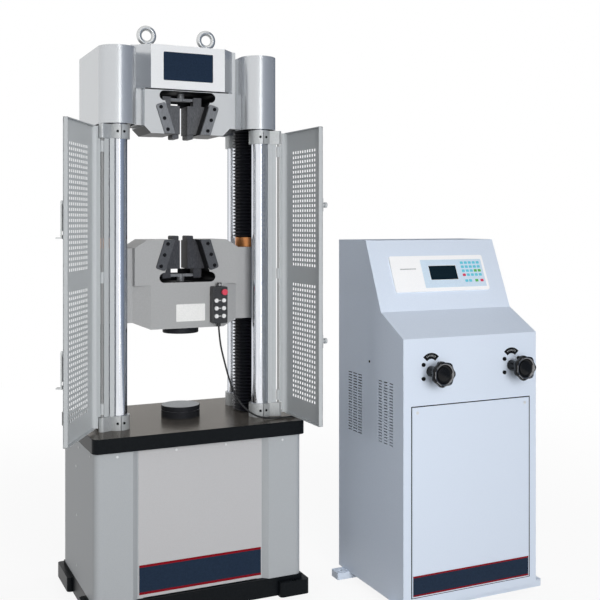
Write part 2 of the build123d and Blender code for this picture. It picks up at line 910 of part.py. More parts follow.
def door_leaf():
    """Right guard door, shut, about a hinge axis at the origin: a perforated tray bent back to its hinge."""
    front = -door_offset
    back = front + door_sheet
    bend = door_bend_r
    height = door_top - door_bottom
    face = Pos(-(door_width + bend) / 2, (front + back) / 2) * Rectangle(door_width - bend, door_sheet)
    quarter = Pos(-bend / 2, front + bend / 2) * Rectangle(bend, bend)
    corner = Pos(-bend, front + bend) * (Circle(bend) - Circle(bend - door_sheet)) & quarter
    wing_end = -clamp_arm_half - clamp_room
    wing_length = wing_end - front - bend
    wing = Pos(-door_sheet / 2, wing_end - wing_length / 2) * Rectangle(door_sheet, wing_length)
    lip = Pos(-door_width + door_sheet / 2, front + door_flange / 2) * Rectangle(door_sheet, door_flange)
    leaf = Pos(0, 0, door_bottom) * extrude(face + corner + wing + lip, height)
    tongue_low = table_top + clamp_h + clamp_room
    tongue_high = top_clamp_z - clamp_room
    leaf = leaf + block(-door_sheet, 0, wing_end - 1, -hinge_rod_r - hinge_slit, tongue_low, tongue_high)
    for low in (door_bottom, door_top - door_sheet):
        leaf = leaf + block(-door_width, -bend, front, front + door_flange, low, low + door_sheet)
    for low in sleeve_levels:
        leaf = leaf + post(0, 0, low, low + sleeve_h, sleeve_r)
        leaf = leaf - post(0, 0, low - 1, low + sleeve_h + 1, hinge_rod_r + running_fit)
    slots = []
    for field in slot_fields:
        for row in range(slot_rows):
            low = field + row * slot_pitch
            slots.append(block(-slot_outer, -slot_inner, front - 1, back + 1, low, low + slot_height))
    return leaf - slots


def make_right_door():
    """Right door with the two brackets and knobs that the latch levers hook on."""
    front = -door_offset
    x = -door_width + catch_edge
    door = door_leaf()
    for level in latch_levels:
        half_w = catch_plate_w / 2
        half_h = catch_plate_h / 2
        plate = block(x - catch_edge, x + half_w, front - door_sheet, front, level - half_h, level + half_h)
        reach = front - door_sheet - latch_boss_h - latch_thickness - 2 * slide_gap
        stud = along_y(x, level, reach, front, catch_stud_r)
        knob = along_y(x, level, reach - catch_knob_h, reach, catch_knob_r)
        door = door + plate + stud + knob
    return Pos(hinge_x, hinge_y, 0) * Rot(0, 0, door_open_right) * door


def left_placed(shape):
    """Turn a piece of the shut left door to the open position of the left door."""
    return Pos(-hinge_x, hinge_y, 0) * Rot(0, 0, -door_open_left) * shape


def make_left_door():
    front = -door_offset
    door = mirror_x(door_leaf())
    for level in latch_levels:
        x = door_width - latch_edge
        boss = along_y(x, level, front - latch_boss_h, front, latch_boss_r)
        pin_end = front - latch_boss_h - latch_thickness - 2 * slide_gap
        pin = along_y(x, level, pin_end, front, latch_pin_r)
        door = door + boss + pin
    return left_placed(door)


def make_latch_lever(level):
    """Hanging latch lever on the left door, with a finger tab and the notch that takes the catch stud."""
    x = door_width - latch_edge
    near = -door_offset - latch_boss_h - slide_gap
    far = near - latch_thickness
    bottom = level - latch_length
    bar = block(x - latch_width / 2, x + latch_width / 2, far, near, bottom, level)
    bar = bar + along_y(x, level, far, near, latch_width / 2)
    half = latch_width / 2
    tab = block(x - half, x + half, far - latch_tab, far, bottom, bottom + latch_thickness)
    reach = 2 * (hinge_x - door_width) + latch_edge + catch_edge
    notch_r = catch_stud_r + 2
    notch = along_y(x, level - reach, far - 1, near + 1, notch_r)
    notch = notch + block(
        x - latch_width, x, far - 1, near + 1, level - reach - notch_r, level - reach + notch_r
    )
    lever = bar + tab - notch
    lever = lever - along_y(x, level, far - 1, near + 1, latch_pin_r + running_fit)
    return left_placed(lever)


# Hand pendant with its buttons, and the cable
pendant_front = -grip_half_y - pendant_depth
pendant_mid_x = (pendant_left + pendant_right) / 2
pendant_mid_y = -grip_half_y - pendant_depth / 2


def make_pendant():
    case = block(pendant_left, pendant_right, pendant_front, -grip_half_y, pendant_bottom, pendant_top)
    case = fillet(case.edges().filter_by(Axis.Y), pendant_corner_r)
    lug = block(
        pendant_mid_x - pendant_lug_h / 2,
        pendant_mid_x + pendant_lug_h / 2,
        pendant_front + pendant_lug_t + slide_gap,
        pendant_front + 2 * pendant_lug_t,
        pendant_top - 1,
        pendant_top + pendant_lug_h,
    )
    peg_z = pendant_top + pendant_lug_h / 2
    case = case + lug
    hole_r = pendant_peg_r + assembly_fit
    case = case - along_y(pendant_mid_x, peg_z, pendant_front - 1, -grip_half_y + 1, hole_r)
    bore_end = pendant_front + button_depth + button_room
    for x in button_columns:
        for z in button_levels:
            case = case - along_y(x, z, pendant_front - 1, bore_end, button_r + slide_gap)
    case = case - along_y(stop_x, stop_z, pendant_front - 1, bore_end, stop_stem_r + slide_gap)
    lamp = along_y(button_columns[0], stop_z, pendant_front - lamp_proud, pendant_front + 1, lamp_r)
    gland = post(pendant_mid_x, pendant_mid_y, pendant_bottom - gland_h, pendant_bottom + 1, gland_r)
    gland = gland - post(
        pendant_mid_x, pendant_mid_y, pendant_bottom - gland_h - 1, pendant_bottom + 1, cable_r + slide_gap
    )
    return case + lamp + gland


def make_button(x, z):
    cap = along_y(x, z, pendant_front - button_proud, pendant_front + button_depth, button_r)
    return chamfer(cap.edges().group_by(Axis.Y)[0], 1.0)


def make_stop_button():
    near = pendant_front - stop_lift
    head = along_y(stop_x, stop_z, near - stop_head_h, near, stop_head_r)
    head = fillet(head.edges().group_by(Axis.Y)[0], stop_head_h / 3)
    return head + along_y(stop_x, stop_z, near - 1, pendant_front + button_depth, stop_stem_r)


def turn_radii(points):
    """Largest easy arc at each corner: 0.45 of the shorter run over the tangent of half the turn."""
    radii = []
    for before, corner, after in zip(points, points[1:], points[2:]):
        run_in = Vector(*corner) - Vector(*before)
        run_out = Vector(*after) - Vector(*corner)
        half_turn = math.radians(run_in.get_angle(run_out)) / 2
        radii.append(0.45 * min(run_in.length, run_out.length) / math.tan(half_turn))
    return radii


def make_tube(points):
    """Round cord along straight runs joined by arcs."""
    path = FilletPolyline(*points, radius=turn_radii(points))
    profile = Plane(origin=path @ 0, z_dir=path % 0) * Circle(cable_r)
    return sweep(profile, path=path), path.length


# Control cabinet
def console_outline(inset):
    """Side outline of the cabinet, drawn in by an inset."""
    front = cabinet_front
    points = (
        (front, foot_bar_h),
        (front, console_front_z),
        (front + console_foot_depth, console_foot_z),
        (front + console_top_depth, cabinet_height),
        (cabinet_back, cabinet_height),
        (cabinet_back, foot_bar_h),
    )
    face = make_face(Polyline(*points, close=True))
    if inset > 0:
        face = offset(face, -inset, kind=Kind.INTERSECTION)
    return face


def cabinet_prism(inset):
    face = Plane.YZ * console_outline(inset)
    return Pos(cabinet_x + inset, 0, 0) * extrude(face, cabinet_width - 2 * inset)


console_rise = cabinet_height - console_foot_z
console_run = console_top_depth - console_foot_depth
console_plane = Plane(
    origin=(cabinet_x, cabinet_front + console_foot_depth, console_foot_z),
    x_dir=(1, 0, 0),
    z_dir=(0, -console_rise, console_run),
)
wheel_places = (cabinet_mid_x - wheel_half_pitch, cabinet_mid_x + wheel_half_pitch)


def make_cabinet_shell():
    shell = cabinet_prism(0) - cabinet_prism(sheet)
    left = cabinet_x + access_inset + access_lap
    right = cabinet_x + cabinet_width - access_inset - access_lap
    low = access_bottom + access_lap
    high = access_top - access_lap
    shell = shell - block(left, right, cabinet_front - 1, cabinet_front + sheet + 1, low, high)
    shell = shell - block(left, right, cabinet_back - sheet - 1, cabinet_back + 1, low, high)
    for x in wheel_places:
        shell = shell - along_y(x, wheel_z, cabinet_front - 1, cabinet_front + sheet + 1, spindle_r + 2)
    slots = []
    for y0, z0 in louvre_fields:
        for column in range(louvre_columns):
            for row in range(louvre_rows):
                y = y0 + column * louvre_pitch_y
                z = z0 + row * louvre_pitch_z
                slots.append(
                    block(cabinet_x - 1, cabinet_x + sheet + 1, y, y + louvre_width, z, z + louvre_height)
                )
    return shell - slots


def make_cabinet_panel(y0, y1):
    """Screwed panel over one of the cabinet's openings."""
    left = cabinet_x + access_inset
    right = cabinet_x + cabinet_width - access_inset
    return block(left, right, y0, y1, access_bottom, access_top)


def make_foot_bars():
    bars = []
    left = cabinet_x - foot_bar_reach
    right = cabinet_x + cabinet_width + foot_bar_reach
    for y0 in (cabinet_front + foot_bar_inset, cabinet_back - foot_bar_inset - foot_bar_depth):
        bar = block(left, right, y0, y0 + foot_bar_depth, 0, foot_bar_h)
        bar = fillet(bar.edges().filter_by(Axis.Z), foot_bar_depth / 8)
        for x in (left + foot_hole_inset, right - foot_hole_inset):
            bar = bar - post(x, y0 + foot_bar_depth / 2, -1, foot_bar_h + 1, foot_hole_r)
        bars.append(bar)
    return group(bars)


def console_plate(x0, x1, y0, y1, lift, thickness, corner_r=0.0):
    """Plate on the slanted console, placed from the console's lower left corner."""
    outline = Rectangle(x1 - x0, y1 - y0)
    if corner_r > 0:
        outline = RectangleRounded(x1 - x0, y1 - y0, corner_r)
    plate = extrude(outline, thickness)
    return console_plane * Pos((x0 + x1) / 2, (y0 + y1) / 2, lift) * plate


def make_display_bezel():
    bezel = console_plate(bezel_left, bezel_right, bezel_low, bezel_high, 0, bezel_thickness, bezel_corner_r)
    return bezel - console_plate(
        screen_left, screen_right, screen_low, screen_high, bezel_thickness - screen_glass, screen_glass + 1
    )


def make_handwheel(x):
    """Lobed and dished valve handwheel on its spindle."""
    rim_back = cabinet_front - wheel_plane + wheel_rim / 2
    rim = extrude(Circle(wheel_r), wheel_rim)
    for lobe in range(wheel_lobes):
        turn = Rot(0, 0, 360 / wheel_lobes * lobe)
        cutter = extrude(Circle(wheel_scallop_r), wheel_rim + 2)
        rim = rim - turn * Pos(wheel_r + wheel_scallop_r / 2, 0, -1) * cutter
    dish_floor = wheel_rim - wheel_dish_h
    rim = rim - Pos(0, 0, dish_floor) * extrude(Circle(wheel_dish_r), wheel_dish_h + 1)
    cap = Pos(0, 0, dish_floor) * extrude(Circle(wheel_cap_r), wheel_cap_h)
    hub_length = wheel_plane - wheel_rim / 2 - slide_gap
    hub = Pos(0, 0, -hub_length) * extrude(Circle(wheel_hub_r), hub_length)
    spindle_length = hub_length + sheet + spindle_inside
    spindle = Pos(0, 0, -spindle_length) * extrude(Circle(spindle_r), spindle_length)
    return Pos(x, rim_back, wheel_z) * Rot(90, 0, 0) * (rim + cap + hub + spindle)


def make_valve_bodies():
    bodies = []
    near = cabinet_front + sheet
    for x in wheel_places:
        body = Pos(x, near + valve_depth / 2, wheel_z) * Box(2 * valve_half, valve_depth, 2 * valve_half)
        bore_r = spindle_r + running_fit
        bodies.append(body - along_y(x, wheel_z, near - 1, near + spindle_inside + 1, bore_r))
    return group(bodies)


tank_floor = foot_bar_h + sheet
tank_y = (cabinet_front + cabinet_back) / 2


def make_oil_tank():
    half_x = cabinet_width / 2 - tank_margin_x
    half_y = cabinet_depth / 2 - tank_margin_y
    top = tank_floor + tank_height
    left = cabinet_mid_x - half_x
    right = cabinet_mid_x + half_x
    near = tank_y - half_y
    far = tank_y + half_y
    hollow = block(
        left + tank_wall,
        right - tank_wall,
        near + tank_wall,
        far - tank_wall,
        tank_floor + tank_wall,
        top - tank_wall,
    )
    return block(left, right, near, far, tank_floor, top) - hollow


def make_pump_unit():
    base = tank_floor + tank_height
    pump = post(cabinet_mid_x, tank_y, base, base + pump_h, pump_r)
    motor = post(cabinet_mid_x, tank_y, base + pump_h, base + pump_h + pump_motor_h, pump_motor_r)
    return pump + chamfer(motor.edges().group_by(Axis.Z)[-1], pump_motor_r / 8)


def main():
    os.makedirs("parts", exist_ok=True)

    save("base_casting", make_base_casting())
    right_shell = make_right_shell()
    save("housing_shells", group([right_shell, mirror_x(right_shell)]))
    save("housing_panels", group([make_panel(-1), make_panel(1)]))
    save("main_cylinder", make_main_cylinder())
    save("ram", make_ram())
    save("left_lead_screw", make_lead_screw(-column_x))
    save("right_lead_screw", make_lead_screw(column_x))
    bearings = [make_screw_bearing(-column_x), make_screw_bearing(column_x)]
    save("drive_bearings", group(bearings + [make_chain_shoe()]))
    save("drive_chain", make_drive_chain())
    save("drive_motor", make_drive_motor())
    save("motor_sprocket", make_motor_sprocket())

    save("work_table", make_work_table())
    save("columns", make_columns())
    save("column_nuts", make_column_nuts())
    save("upper_crosshead", make_upper_crosshead())
    right_cover = make_right_cover()
    save("column_covers", group([right_cover, mirror_x(right_cover)]))
    save("front_cover", make_front_cover())
    save("eyebolts", group([make_eyebolt(-eye_x), make_eyebolt(eye_x)]))
    save("upper_grip_plates", at_upper(make_grip_plates()))
    jaw = make_jaw()
    save("upper_right_jaw", at_upper(jaw))
    save("upper_left_jaw", at_upper(mirror_x(jaw)))
    bar = make_link_bar()
    save("upper_link_bar", at_upper(bar))

    save("lower_crosshead", make_lower_crosshead())
    save("screw_nuts", make_screw_nuts())
    save("lower_grip_plates", at_lower(make_grip_plates()))
    save("lower_right_jaw", at_lower(jaw))
    save("lower_left_jaw", at_lower(mirror_x(jaw)))
    save("lower_link_bar", at_lower(bar))
    save("upper_platen", make_upper_platen())
    save("lower_platen", make_lower_platen())

    nut_top = lower_end_top + nut_flange_h
    save("upper_bellows_heads", make_bellows(upper_bellows_split, beam_bottom))
    save("upper_bellows_tails", make_bellows(nut_top, upper_bellows_split))
    save("lower_bellows_heads", make_bellows(lower_bellows_split, lower_end_bottom))
    save("lower_bellows_tails", make_bellows(table_top, lower_bellows_split))

    save("column_clamps", make_column_clamps())
    save("guard_posts", make_guard_posts())
    save("left_door", make_left_door())
    save("right_door", make_right_door())
    for name, level in zip(("lower", "upper"), latch_levels):
        save(f"{name}_latch_lever", make_latch_lever(level))

    save("pendant", make_pendant())
    number = 1
    for z in reversed(button_levels):
        for x in button_columns:
            save(f"pendant_button_{number}", make_button(x, z))
            number += 1
    save("stop_button", make_stop_button())
    drop, drop_length = make_tube(cable_drop_points)
    tail, tail_length = make_tube(cable_tail_points)
    save("pendant_cable_drop", drop)
    save("pendant_cable_tail", tail)
    section = math.pi * cable_r ** 2
    for points in (cable_drop_points, cable_tail_points):
        print("cable radii", [round(radius, 1) for radius in turn_radii(points)])
    print("cable lengths", round(drop_length, 1), round(tail_length, 1))
    print("volume over section times length", round(drop.volume / section / drop_length, 4),
          round(tail.volume / section / tail_length, 4))

    save("cabinet_shell", make_cabinet_shell())
    front_panel = make_cabinet_panel(cabinet_front - sheet, cabinet_front)
    back_panel = make_cabinet_panel(cabinet_back, cabinet_back + sheet)
    save("cabinet_panels", group([front_panel, back_panel]))
    save("foot_bars", make_foot_bars())
    save("display_bezel", make_display_bezel())
    save("display_screen", console_plate(
        screen_left, screen_right, screen_low, screen_high, bezel_thickness - screen_glass, screen_glass))
    save("delivery_handwheel", make_handwheel(wheel_places[0]))
    save("return_handwheel", make_handwheel(wheel_places[1]))
    save("valve_bodies", make_valve_bodies())
    save("oil_tank", make_oil_tank())
    save("pump_unit", make_pump_unit())


main()
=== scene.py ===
# %% [markdown]
# # A universal testing machine, dressed for its picture
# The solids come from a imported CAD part, in metres, with the front towards -Y. This script gives them
# finishes and adds what is too fine for the solids: perforated door leaves, pleated bellows, screws, keys
# and plates.

import math

import bmesh
import bpy
import numpy as np
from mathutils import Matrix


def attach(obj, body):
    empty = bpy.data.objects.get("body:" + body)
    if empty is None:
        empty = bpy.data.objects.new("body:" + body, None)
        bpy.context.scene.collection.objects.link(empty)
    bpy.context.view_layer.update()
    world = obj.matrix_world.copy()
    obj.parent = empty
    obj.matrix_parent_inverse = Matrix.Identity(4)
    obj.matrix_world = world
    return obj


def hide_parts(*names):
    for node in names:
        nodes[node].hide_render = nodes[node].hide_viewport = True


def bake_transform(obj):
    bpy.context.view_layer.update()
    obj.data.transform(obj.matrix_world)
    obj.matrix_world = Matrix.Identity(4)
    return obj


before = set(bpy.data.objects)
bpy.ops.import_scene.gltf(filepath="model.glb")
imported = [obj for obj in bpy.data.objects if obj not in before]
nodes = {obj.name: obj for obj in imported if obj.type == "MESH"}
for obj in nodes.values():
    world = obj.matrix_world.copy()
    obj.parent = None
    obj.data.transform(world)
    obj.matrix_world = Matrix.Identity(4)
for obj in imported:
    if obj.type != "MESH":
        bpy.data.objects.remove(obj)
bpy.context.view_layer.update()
MM = 0.001


def new_object(name, data):
    """Object with this mesh, lamp or camera, linked to the scene."""
    thing = bpy.data.objects.new(name, data)
    bpy.context.scene.collection.objects.link(thing)
    return thing


# %% [markdown]
# ## Camera
# The picture was taken a little to the left of the machine. The horizon lies above the middle of the frame,
# so the lens is shifted and the camera stays level, which keeps the columns upright.

# %% Camera
camera_place = (-1.1623, -3.6002, 1.4237)
camera_turn = 25.02
lens_mm, sensor_mm = 57.35, 36.0
frame_drop = -0.131

camera_data = bpy.data.cameras.new("camera")
camera_data.sensor_width = sensor_mm
camera_data.lens = lens_mm
camera_data.shift_y = frame_drop
camera = new_object("camera", camera_data)
camera.location = camera_place
camera.rotation_euler = (math.radians(90), 0, math.radians(-camera_turn))
bpy.context.scene.camera = camera
print("camera at", camera_place, "lens", lens_mm)

# %% [markdown]
# ## Node helper and colour
# A finish is a small tree of shader nodes. One function adds a node with its settings and inputs, one turns
# hex colours into the renderer's linear values, and the last makes a whole grained finish.


# %% Node helper and colour
def to_linear(code):
    """Linear colour from an sRGB hex code: the power curve of 2.4 above its short straight foot."""
    channel = np.array([int(code[i : i + 2], 16) for i in (1, 3, 5)]) / 255
    linear = np.where(channel <= 0.04045, channel / 12.92, ((channel + 0.055) / 1.055) ** 2.4)
    return (*linear.tolist(), 1.0)


def add(tree, kind, inputs=None, **settings):
    """Add a node, set its properties, and fill its inputs with values or links."""
    node = tree.nodes.new(kind)
    for key, value in settings.items():
        setattr(node, key, value)
    for key, value in (inputs or {}).items():
        if isinstance(value, bpy.types.NodeSocket):
            tree.links.new(value, node.inputs[key])
        else:
            node.inputs[key].default_value = value
    return node


def new_finish(name, roughness, metallic=0.0, specular=0.5, **more):
    """A material, its tree and shader, and the object coordinates for its patterns."""
    material = bpy.data.materials.new(name)
    material.use_nodes = True
    tree = material.node_tree
    shader = tree.nodes["Principled BSDF"]
    shader.inputs["Roughness"].default_value = roughness
    shader.inputs["Metallic"].default_value = metallic
    shader.inputs["Specular IOR Level"].default_value = specular
    for key, value in more.items():
        shader.inputs[key.replace("_", " ")].default_value = value
    place = add(tree, "ShaderNodeTexCoord").outputs["Object"]
    return material, tree, shader, place


def two_tone(tree, pattern, first, last, low=0.3, high=0.7):
    """Colour that runs from the first to the last as the pattern goes from low to high."""
    ramp = add(tree, "ShaderNodeValToRGB", {"Fac": pattern})
    for element, position, code in zip(ramp.color_ramp.elements, (low, high), (first, last)):
        element.position, element.color = position, to_linear(code)
    return ramp.outputs["Color"]


def relief(tree, shader, pattern, depth_mm, strength):
    """Fine relief of that depth, as a bump on the shader's normal."""
    inputs = {"Height": pattern, "Distance": depth_mm * MM, "Strength": strength}
    bump = add(tree, "ShaderNodeBump", inputs)
    tree.links.new(bump.outputs["Normal"], shader.inputs["Normal"])


def grained(name, dark, light, roughness, grain_mm, depth_mm, detail, strength, along=None, **more):
    """A material whose shade and relief follow noise with spots of that width, even or drawn out."""
    material, tree, shader, place = new_finish(name, roughness, **more)
    if along:
        place = add(tree, "ShaderNodeMapping", {"Vector": place, "Scale": along}).outputs["Vector"]
    inputs = {"Vector": place, "Scale": 1 / (grain_mm * MM), "Detail": detail}
    grain = add(tree, "ShaderNodeTexNoise", inputs).outputs["Fac"]
    tree.links.new(two_tone(tree, grain, dark, light), shader.inputs["Base Color"])
    relief(tree, shader, grain, depth_mm, strength)
    return material


# %% [markdown]
# ## Sprayed paint
# Housings, covers, doors and the cabinet are steel sprayed with paint. Spraying leaves orange peel, a soft
# ripple a few millimetres wide. Noise at that size drives a small change of shade and a shallow bump. The
# silver paint of the covers holds metal flakes, so it is partly metallic and mirrors the room softly. Black
# and navy paints have a low specular level, because the white room would turn them grey.


# %% Sprayed paint
def paint(name, dark, light, roughness, peel_mm=3.0, depth_mm=0.02, **more):
    """Paint with an orange peel of the given width, between two close shades."""
    return grained(name, dark, light, roughness, peel_mm, depth_mm, detail=2.0, strength=0.3, **more)


cover_paint = paint("cover_paint_silver_satin", "#C9CCCF", "#CFD2D5", 0.27, metallic=0.7)
face_paint = paint("front_cover_paint_white_silver", "#E6E8EB", "#ECEEF0", 0.4)
block_paint = paint("crosshead_paint_silver", "#C2C5C8", "#C9CCCF", 0.4)
casting_paint = paint("casting_paint_grey", "#A3A4A5", "#AAABAC", 0.42, 5.0, 0.05)
housing_paint = paint("housing_paint_textured_grey", "#A9ADB1", "#B0B4B7", 0.45, 2.5, 0.08)
panel_paint = paint("panel_paint_pale_grey", "#BABABC", "#C1C1C3", 0.45, 2.5, 0.08)
door_paint = paint("door_paint_grey", "#B9BDC0", "#BFC3C5", 0.4)
cabinet_paint = paint("cabinet_paint_pale_blue", "#D3DEEE", "#D9E3F1", 0.42)
base_black = paint("base_paint_black", "#0E1114", "#15181B", 0.35, 5.0, 0.06, specular=0.08)
# Painted shade: a near-black finish on the cabinet's inner faces, standing in for the shade inside it.
inside_painted_shade = paint("cabinet_inside_painted_shade", "#2A2C2E", "#333537", 0.5)
rod_paint = paint("hinge_rod_paint_grey", "#8F9090", "#999A9A", 0.4)
# Painted shade: a near-black casting finish for the grip pockets, their back plates and the upper crosshead's
# underside.
pocket_painted_shade = paint("pocket_casting_painted_shade", "#141517", "#1E1F21", 0.4, 4.0, 0.06, specular=0.12)
band_paint = paint("band_print_navy", "#1B293B", "#202F43", 0.35, 6.0, 0.01, specular=0.1)
edge_red = paint("band_print_dark_red", "#7C0916", "#880D1B", 0.35, 6.0, 0.01, specular=0.1)
print("paints made")

# %% [markdown]
# ## Steel
# The columns are hard-chromed and ground, so they mirror what stands round them. The table is a ground plate
# with faint lines left by the wheel. The upper grip's plates are plain steel and the lower grip's blackened,
# and the eyebolts are zinc plated. A polished metal keeps its grey at a glancing look only if its edge tint
# is dark too.

# %% Steel
even, upright = (1, 1, 1), (1, 1, 0.3)


def metal(name, dark, light, roughness, grain_mm, along=even, depth_mm=0.02, metallic=1.0, edge="#FFFFFF"):
    """Metal with a grain of the given width, drawn out along the axes whose factor is small."""
    more = {"along": along, "metallic": metallic, "Specular_Tint": to_linear(edge)}
    return grained(name, dark, light, roughness, grain_mm, depth_mm, detail=3.0, strength=0.3, **more)


column_chrome = metal(
    "column_hard_chrome", "#DDE1E8", "#ECEEF2", 0.13, 3.0, (1, 1, 0.05), depth_mm=0.003, edge="#4C566A"
)
zinc_plate = metal("zinc_plated_steel", "#CDCFD0", "#E0E2E2", 0.26, 4.0, metallic=0.9, edge="#8E8E8E")
clamp_steel = metal("clamp_steel_satin", "#B2B5B7", "#C2C5C6", 0.38, 3.0, upright, metallic=0.45)
ground_table = metal(
    "table_ground_steel", "#7C7771", "#908A84", 0.22, 5.0, (0.06, 1, 1), 0.008, 0.55, "#8C8A86"
)
machined_steel = metal("machined_steel", "#7A7C7F", "#8E9093", 0.4, 2.5, (1, 1, 0.2), 0.02, 0.6, "#8A8A8A")
platen_steel = metal(
    "platen_ground_steel", "#A6AAAD", "#B8BCC0", 0.34, 2.0, (1, 0.1, 1), 0.01, 0.5, "#A0A0A0"
)
screw_zinc = metal("screw_bright_zinc", "#D2D4D6", "#E2E4E5", 0.3, 2.0, even, 0.01, 0.4)
jaw_steel = metal("jaw_hardened_steel", "#58595C", "#6C6D70", 0.42, 3.0, upright, 0.03, 0.5, "#707070")
jaw_black = metal("jaw_oiled_steel", "#3F4044", "#4F5054", 0.4, 3.0, upright, 0.03, 0.5, "#606060")
plate_black = metal("grip_plate_blackened", "#4C4E52", "#5C5E62", 0.4, 3.0, even, 0.03, 0.4, "#606060")
black_steel = metal("blackened_steel", "#26272A", "#343539", 0.4, 3.0, even, 0.03, 0.5, "#404040")
screw_black = metal("screw_black_oxide", "#17181A", "#242528", 0.3, 2.0, even, 0.02, 0.5, "#505050")
nut_bronze = metal("cast_bronze", "#B87848", "#CE915F", 0.32, 3.0, depth_mm=0.03)
print("metals made")

# %% [markdown]
# ## Plastic, rubber, cloth and glass
# Moulded plastic has a faint spark-eroded grain. Cable rubber is smooth and dull, and the bellows are coated
# cloth, whose threads are 1.5 mm apart here so that the weave can be seen at all.


# %% Plastic, rubber, cloth and glass
def moulded(name, dark, light, roughness, grain_mm=1.6, depth_mm=0.03, **more):
    """Moulded plastic or rubber with a fine even grain."""
    return grained(name, dark, light, roughness, grain_mm, depth_mm, detail=1.0, strength=0.25, **more)


black_plastic = moulded("pendant_plastic_black", "#27282A", "#333437", 0.45)
wheel_plastic = moulded("handwheel_phenolic_black", "#0B0C0E", "#141518", 0.2, 4.0, 0.01, specular=0.2)
wheel_polish = moulded("handwheel_rim_polished", "#0D0E12", "#16171B", 0.1, 4.0, 0.01, specular=1.0, IOR=2.0)
white_plastic = moulded("button_plastic_white", "#E2E3E4", "#EFEFF0", 0.35)
bezel_plastic = moulded("bezel_plastic_white", "#F6F7F9", "#FCFCFD", 0.4, 3.0)
red_plastic = moulded("stop_plastic_red", "#D03F54", "#DE4C62", 0.3)
overlay_film = moulded("overlay_film_pale_blue", "#CBDDEE", "#D3E5F4", 0.4, 5.0, 0.01)
key_cyan = moulded("key_film_cyan", "#5BC1D7", "#68CDE2", 0.4, 3.0)
key_green = moulded("key_film_green", "#54AC4C", "#60BA58", 0.4, 3.0)
key_red = moulded("key_film_red", "#D03656", "#DE4365", 0.4, 3.0)
blank_film = moulded("plate_film_white", "#E8E9E8", "#F2F2F1", 0.4, 4.0, 0.01)
cable_rubber = moulded("cable_rubber_black", "#1A1B1D", "#262729", 0.55, 2.0)
tick_white = moulded("scale_print_white", "#B9BBBD", "#C6C8C9", 0.5, 2.0, 0.01)


def bellows_finish():
    """Coated cloth: two waves at right angles in the piece's own unrolled coordinates, one per thread."""
    material, tree, shader, _ = new_finish("bellows_coated_cloth", 0.5)
    unrolled = add(tree, "ShaderNodeUVMap", uv_map="unrolled").outputs["UV"]
    thread_mm = 1.5
    weave_scale = 0.5 / thread_mm
    threads = {"Vector": unrolled, "Scale": weave_scale}
    across, down = (
        add(tree, "ShaderNodeTexWave", threads, wave_type="BANDS", bands_direction=axis) for axis in "XY"
    )
    crossing = {0: across.outputs["Fac"], 1: down.outputs["Fac"]}
    weave = add(tree, "ShaderNodeMath", crossing, operation="MULTIPLY").outputs["Value"]
    tree.links.new(two_tone(tree, weave, "#17181D", "#24262E", 0.1, 0.7), shader.inputs["Base Color"])
    relief(tree, shader, weave, 0.1, 0.3)
    return material


def screen_finish():
    """Dark glass over a panel of cells 0.8 mm wide: a brick grid whose joints are a shade lighter."""
    material, tree, shader, place = new_finish("display_glass", 0.08, specular=0.1)
    cell = 0.8 * MM
    grid = {
        "Vector": place, "Scale": 1.0, "Mortar Size": 0.1 * cell, "Brick Width": cell, "Row Height": cell,
        "Color1": to_linear("#0B1A22"), "Color2": to_linear("#0D1D26"), "Mortar": to_linear("#122732"),
    }
    cells = add(tree, "ShaderNodeTexBrick", grid, offset=0.0, squash=1.0)
    tree.links.new(cells.outputs["Color"], shader.inputs["Base Color"])
    return material


bellows_cloth = bellows_finish()
screen_glass = screen_finish()
print("plastics, cloth and glass made")

# %% [markdown]
# ## Finishes on the solids
# Each solid takes one finish. A few take another on some of their faces: the table is black at its edges, the
# top's flanks are silver, the cabinet's inner faces are painted dark as shade, the hinge rods are darker than
# the strips beside them, and the grip pockets and the upper crosshead's underside take a painted shade. Faces
# are picked by the place of their middle and by the way that they look.

# %% Finishes on the solids
finish_of = {
    base_black: ("base_casting",),
    housing_paint: ("housing_shells", "drive_motor", "oil_tank", "pump_unit"),
    panel_paint: ("housing_panels",),
    cover_paint: ("column_covers",),
    face_paint: ("front_cover",),
    block_paint: ("upper_crosshead",),
    casting_paint: ("lower_crosshead",),
    door_paint: ("left_door", "right_door", "guard_posts"),
    cabinet_paint: ("cabinet_shell", "cabinet_panels", "foot_bars"),
    column_chrome: ("columns", "ram"),
    zinc_plate: ("eyebolts", "lower_latch_lever", "upper_latch_lever"),
    clamp_steel: ("column_clamps",),
    ground_table: ("work_table",),
    machined_steel: (
        "main_cylinder", "drive_bearings", "left_lead_screw", "right_lead_screw", "motor_sprocket",
        "upper_grip_plates", "upper_link_bar", "lower_link_bar", "valve_bodies",
    ),
    jaw_steel: ("upper_left_jaw", "upper_right_jaw"),
    jaw_black: ("lower_left_jaw", "lower_right_jaw"),
    plate_black: ("lower_grip_plates",),
    black_steel: ("column_nuts", "drive_chain", "lower_platen", "upper_platen"),
    nut_bronze: ("screw_nuts",),
    black_plastic: ("pendant",),
    white_plastic: tuple(f"pendant_button_{number}" for number in range(1, 7)),
    red_plastic: ("stop_button",),
    bezel_plastic: ("display_bezel",),
    screen_glass: ("display_screen",),
    wheel_plastic: ("delivery_handwheel", "return_handwheel"),
    bellows_cloth: (
        "upper_bellows_heads", "upper_bellows_tails", "lower_bellows_heads", "lower_bellows_tails",
    ),
    cable_rubber: ("pendant_cable_drop", "pendant_cable_tail"),
}
for finish, names in finish_of.items():
    for name in names:
        nodes[name].data.materials.clear()
        nodes[name].data.materials.append(finish)
unfinished = sorted(set(nodes) - {name for names in finish_of.values() for name in names})
print("solids without a finish:", unfinished)

# %% Second finishes
hinge_x, hinge_y, rod_reach = 348.0, -161.0, 5.0
cabinet_middle = np.array([926.0, -390.0, 450.0])
flank_from_x, flank_turn = 130.0, 0.3
level_top, lean = 0.9, 0.2
upper_mouth, lower_mouth = 1758.0, 1354.0
pocket_half_x, pocket_half_y, pocket_depth = 125.0, 81.0, 168.0


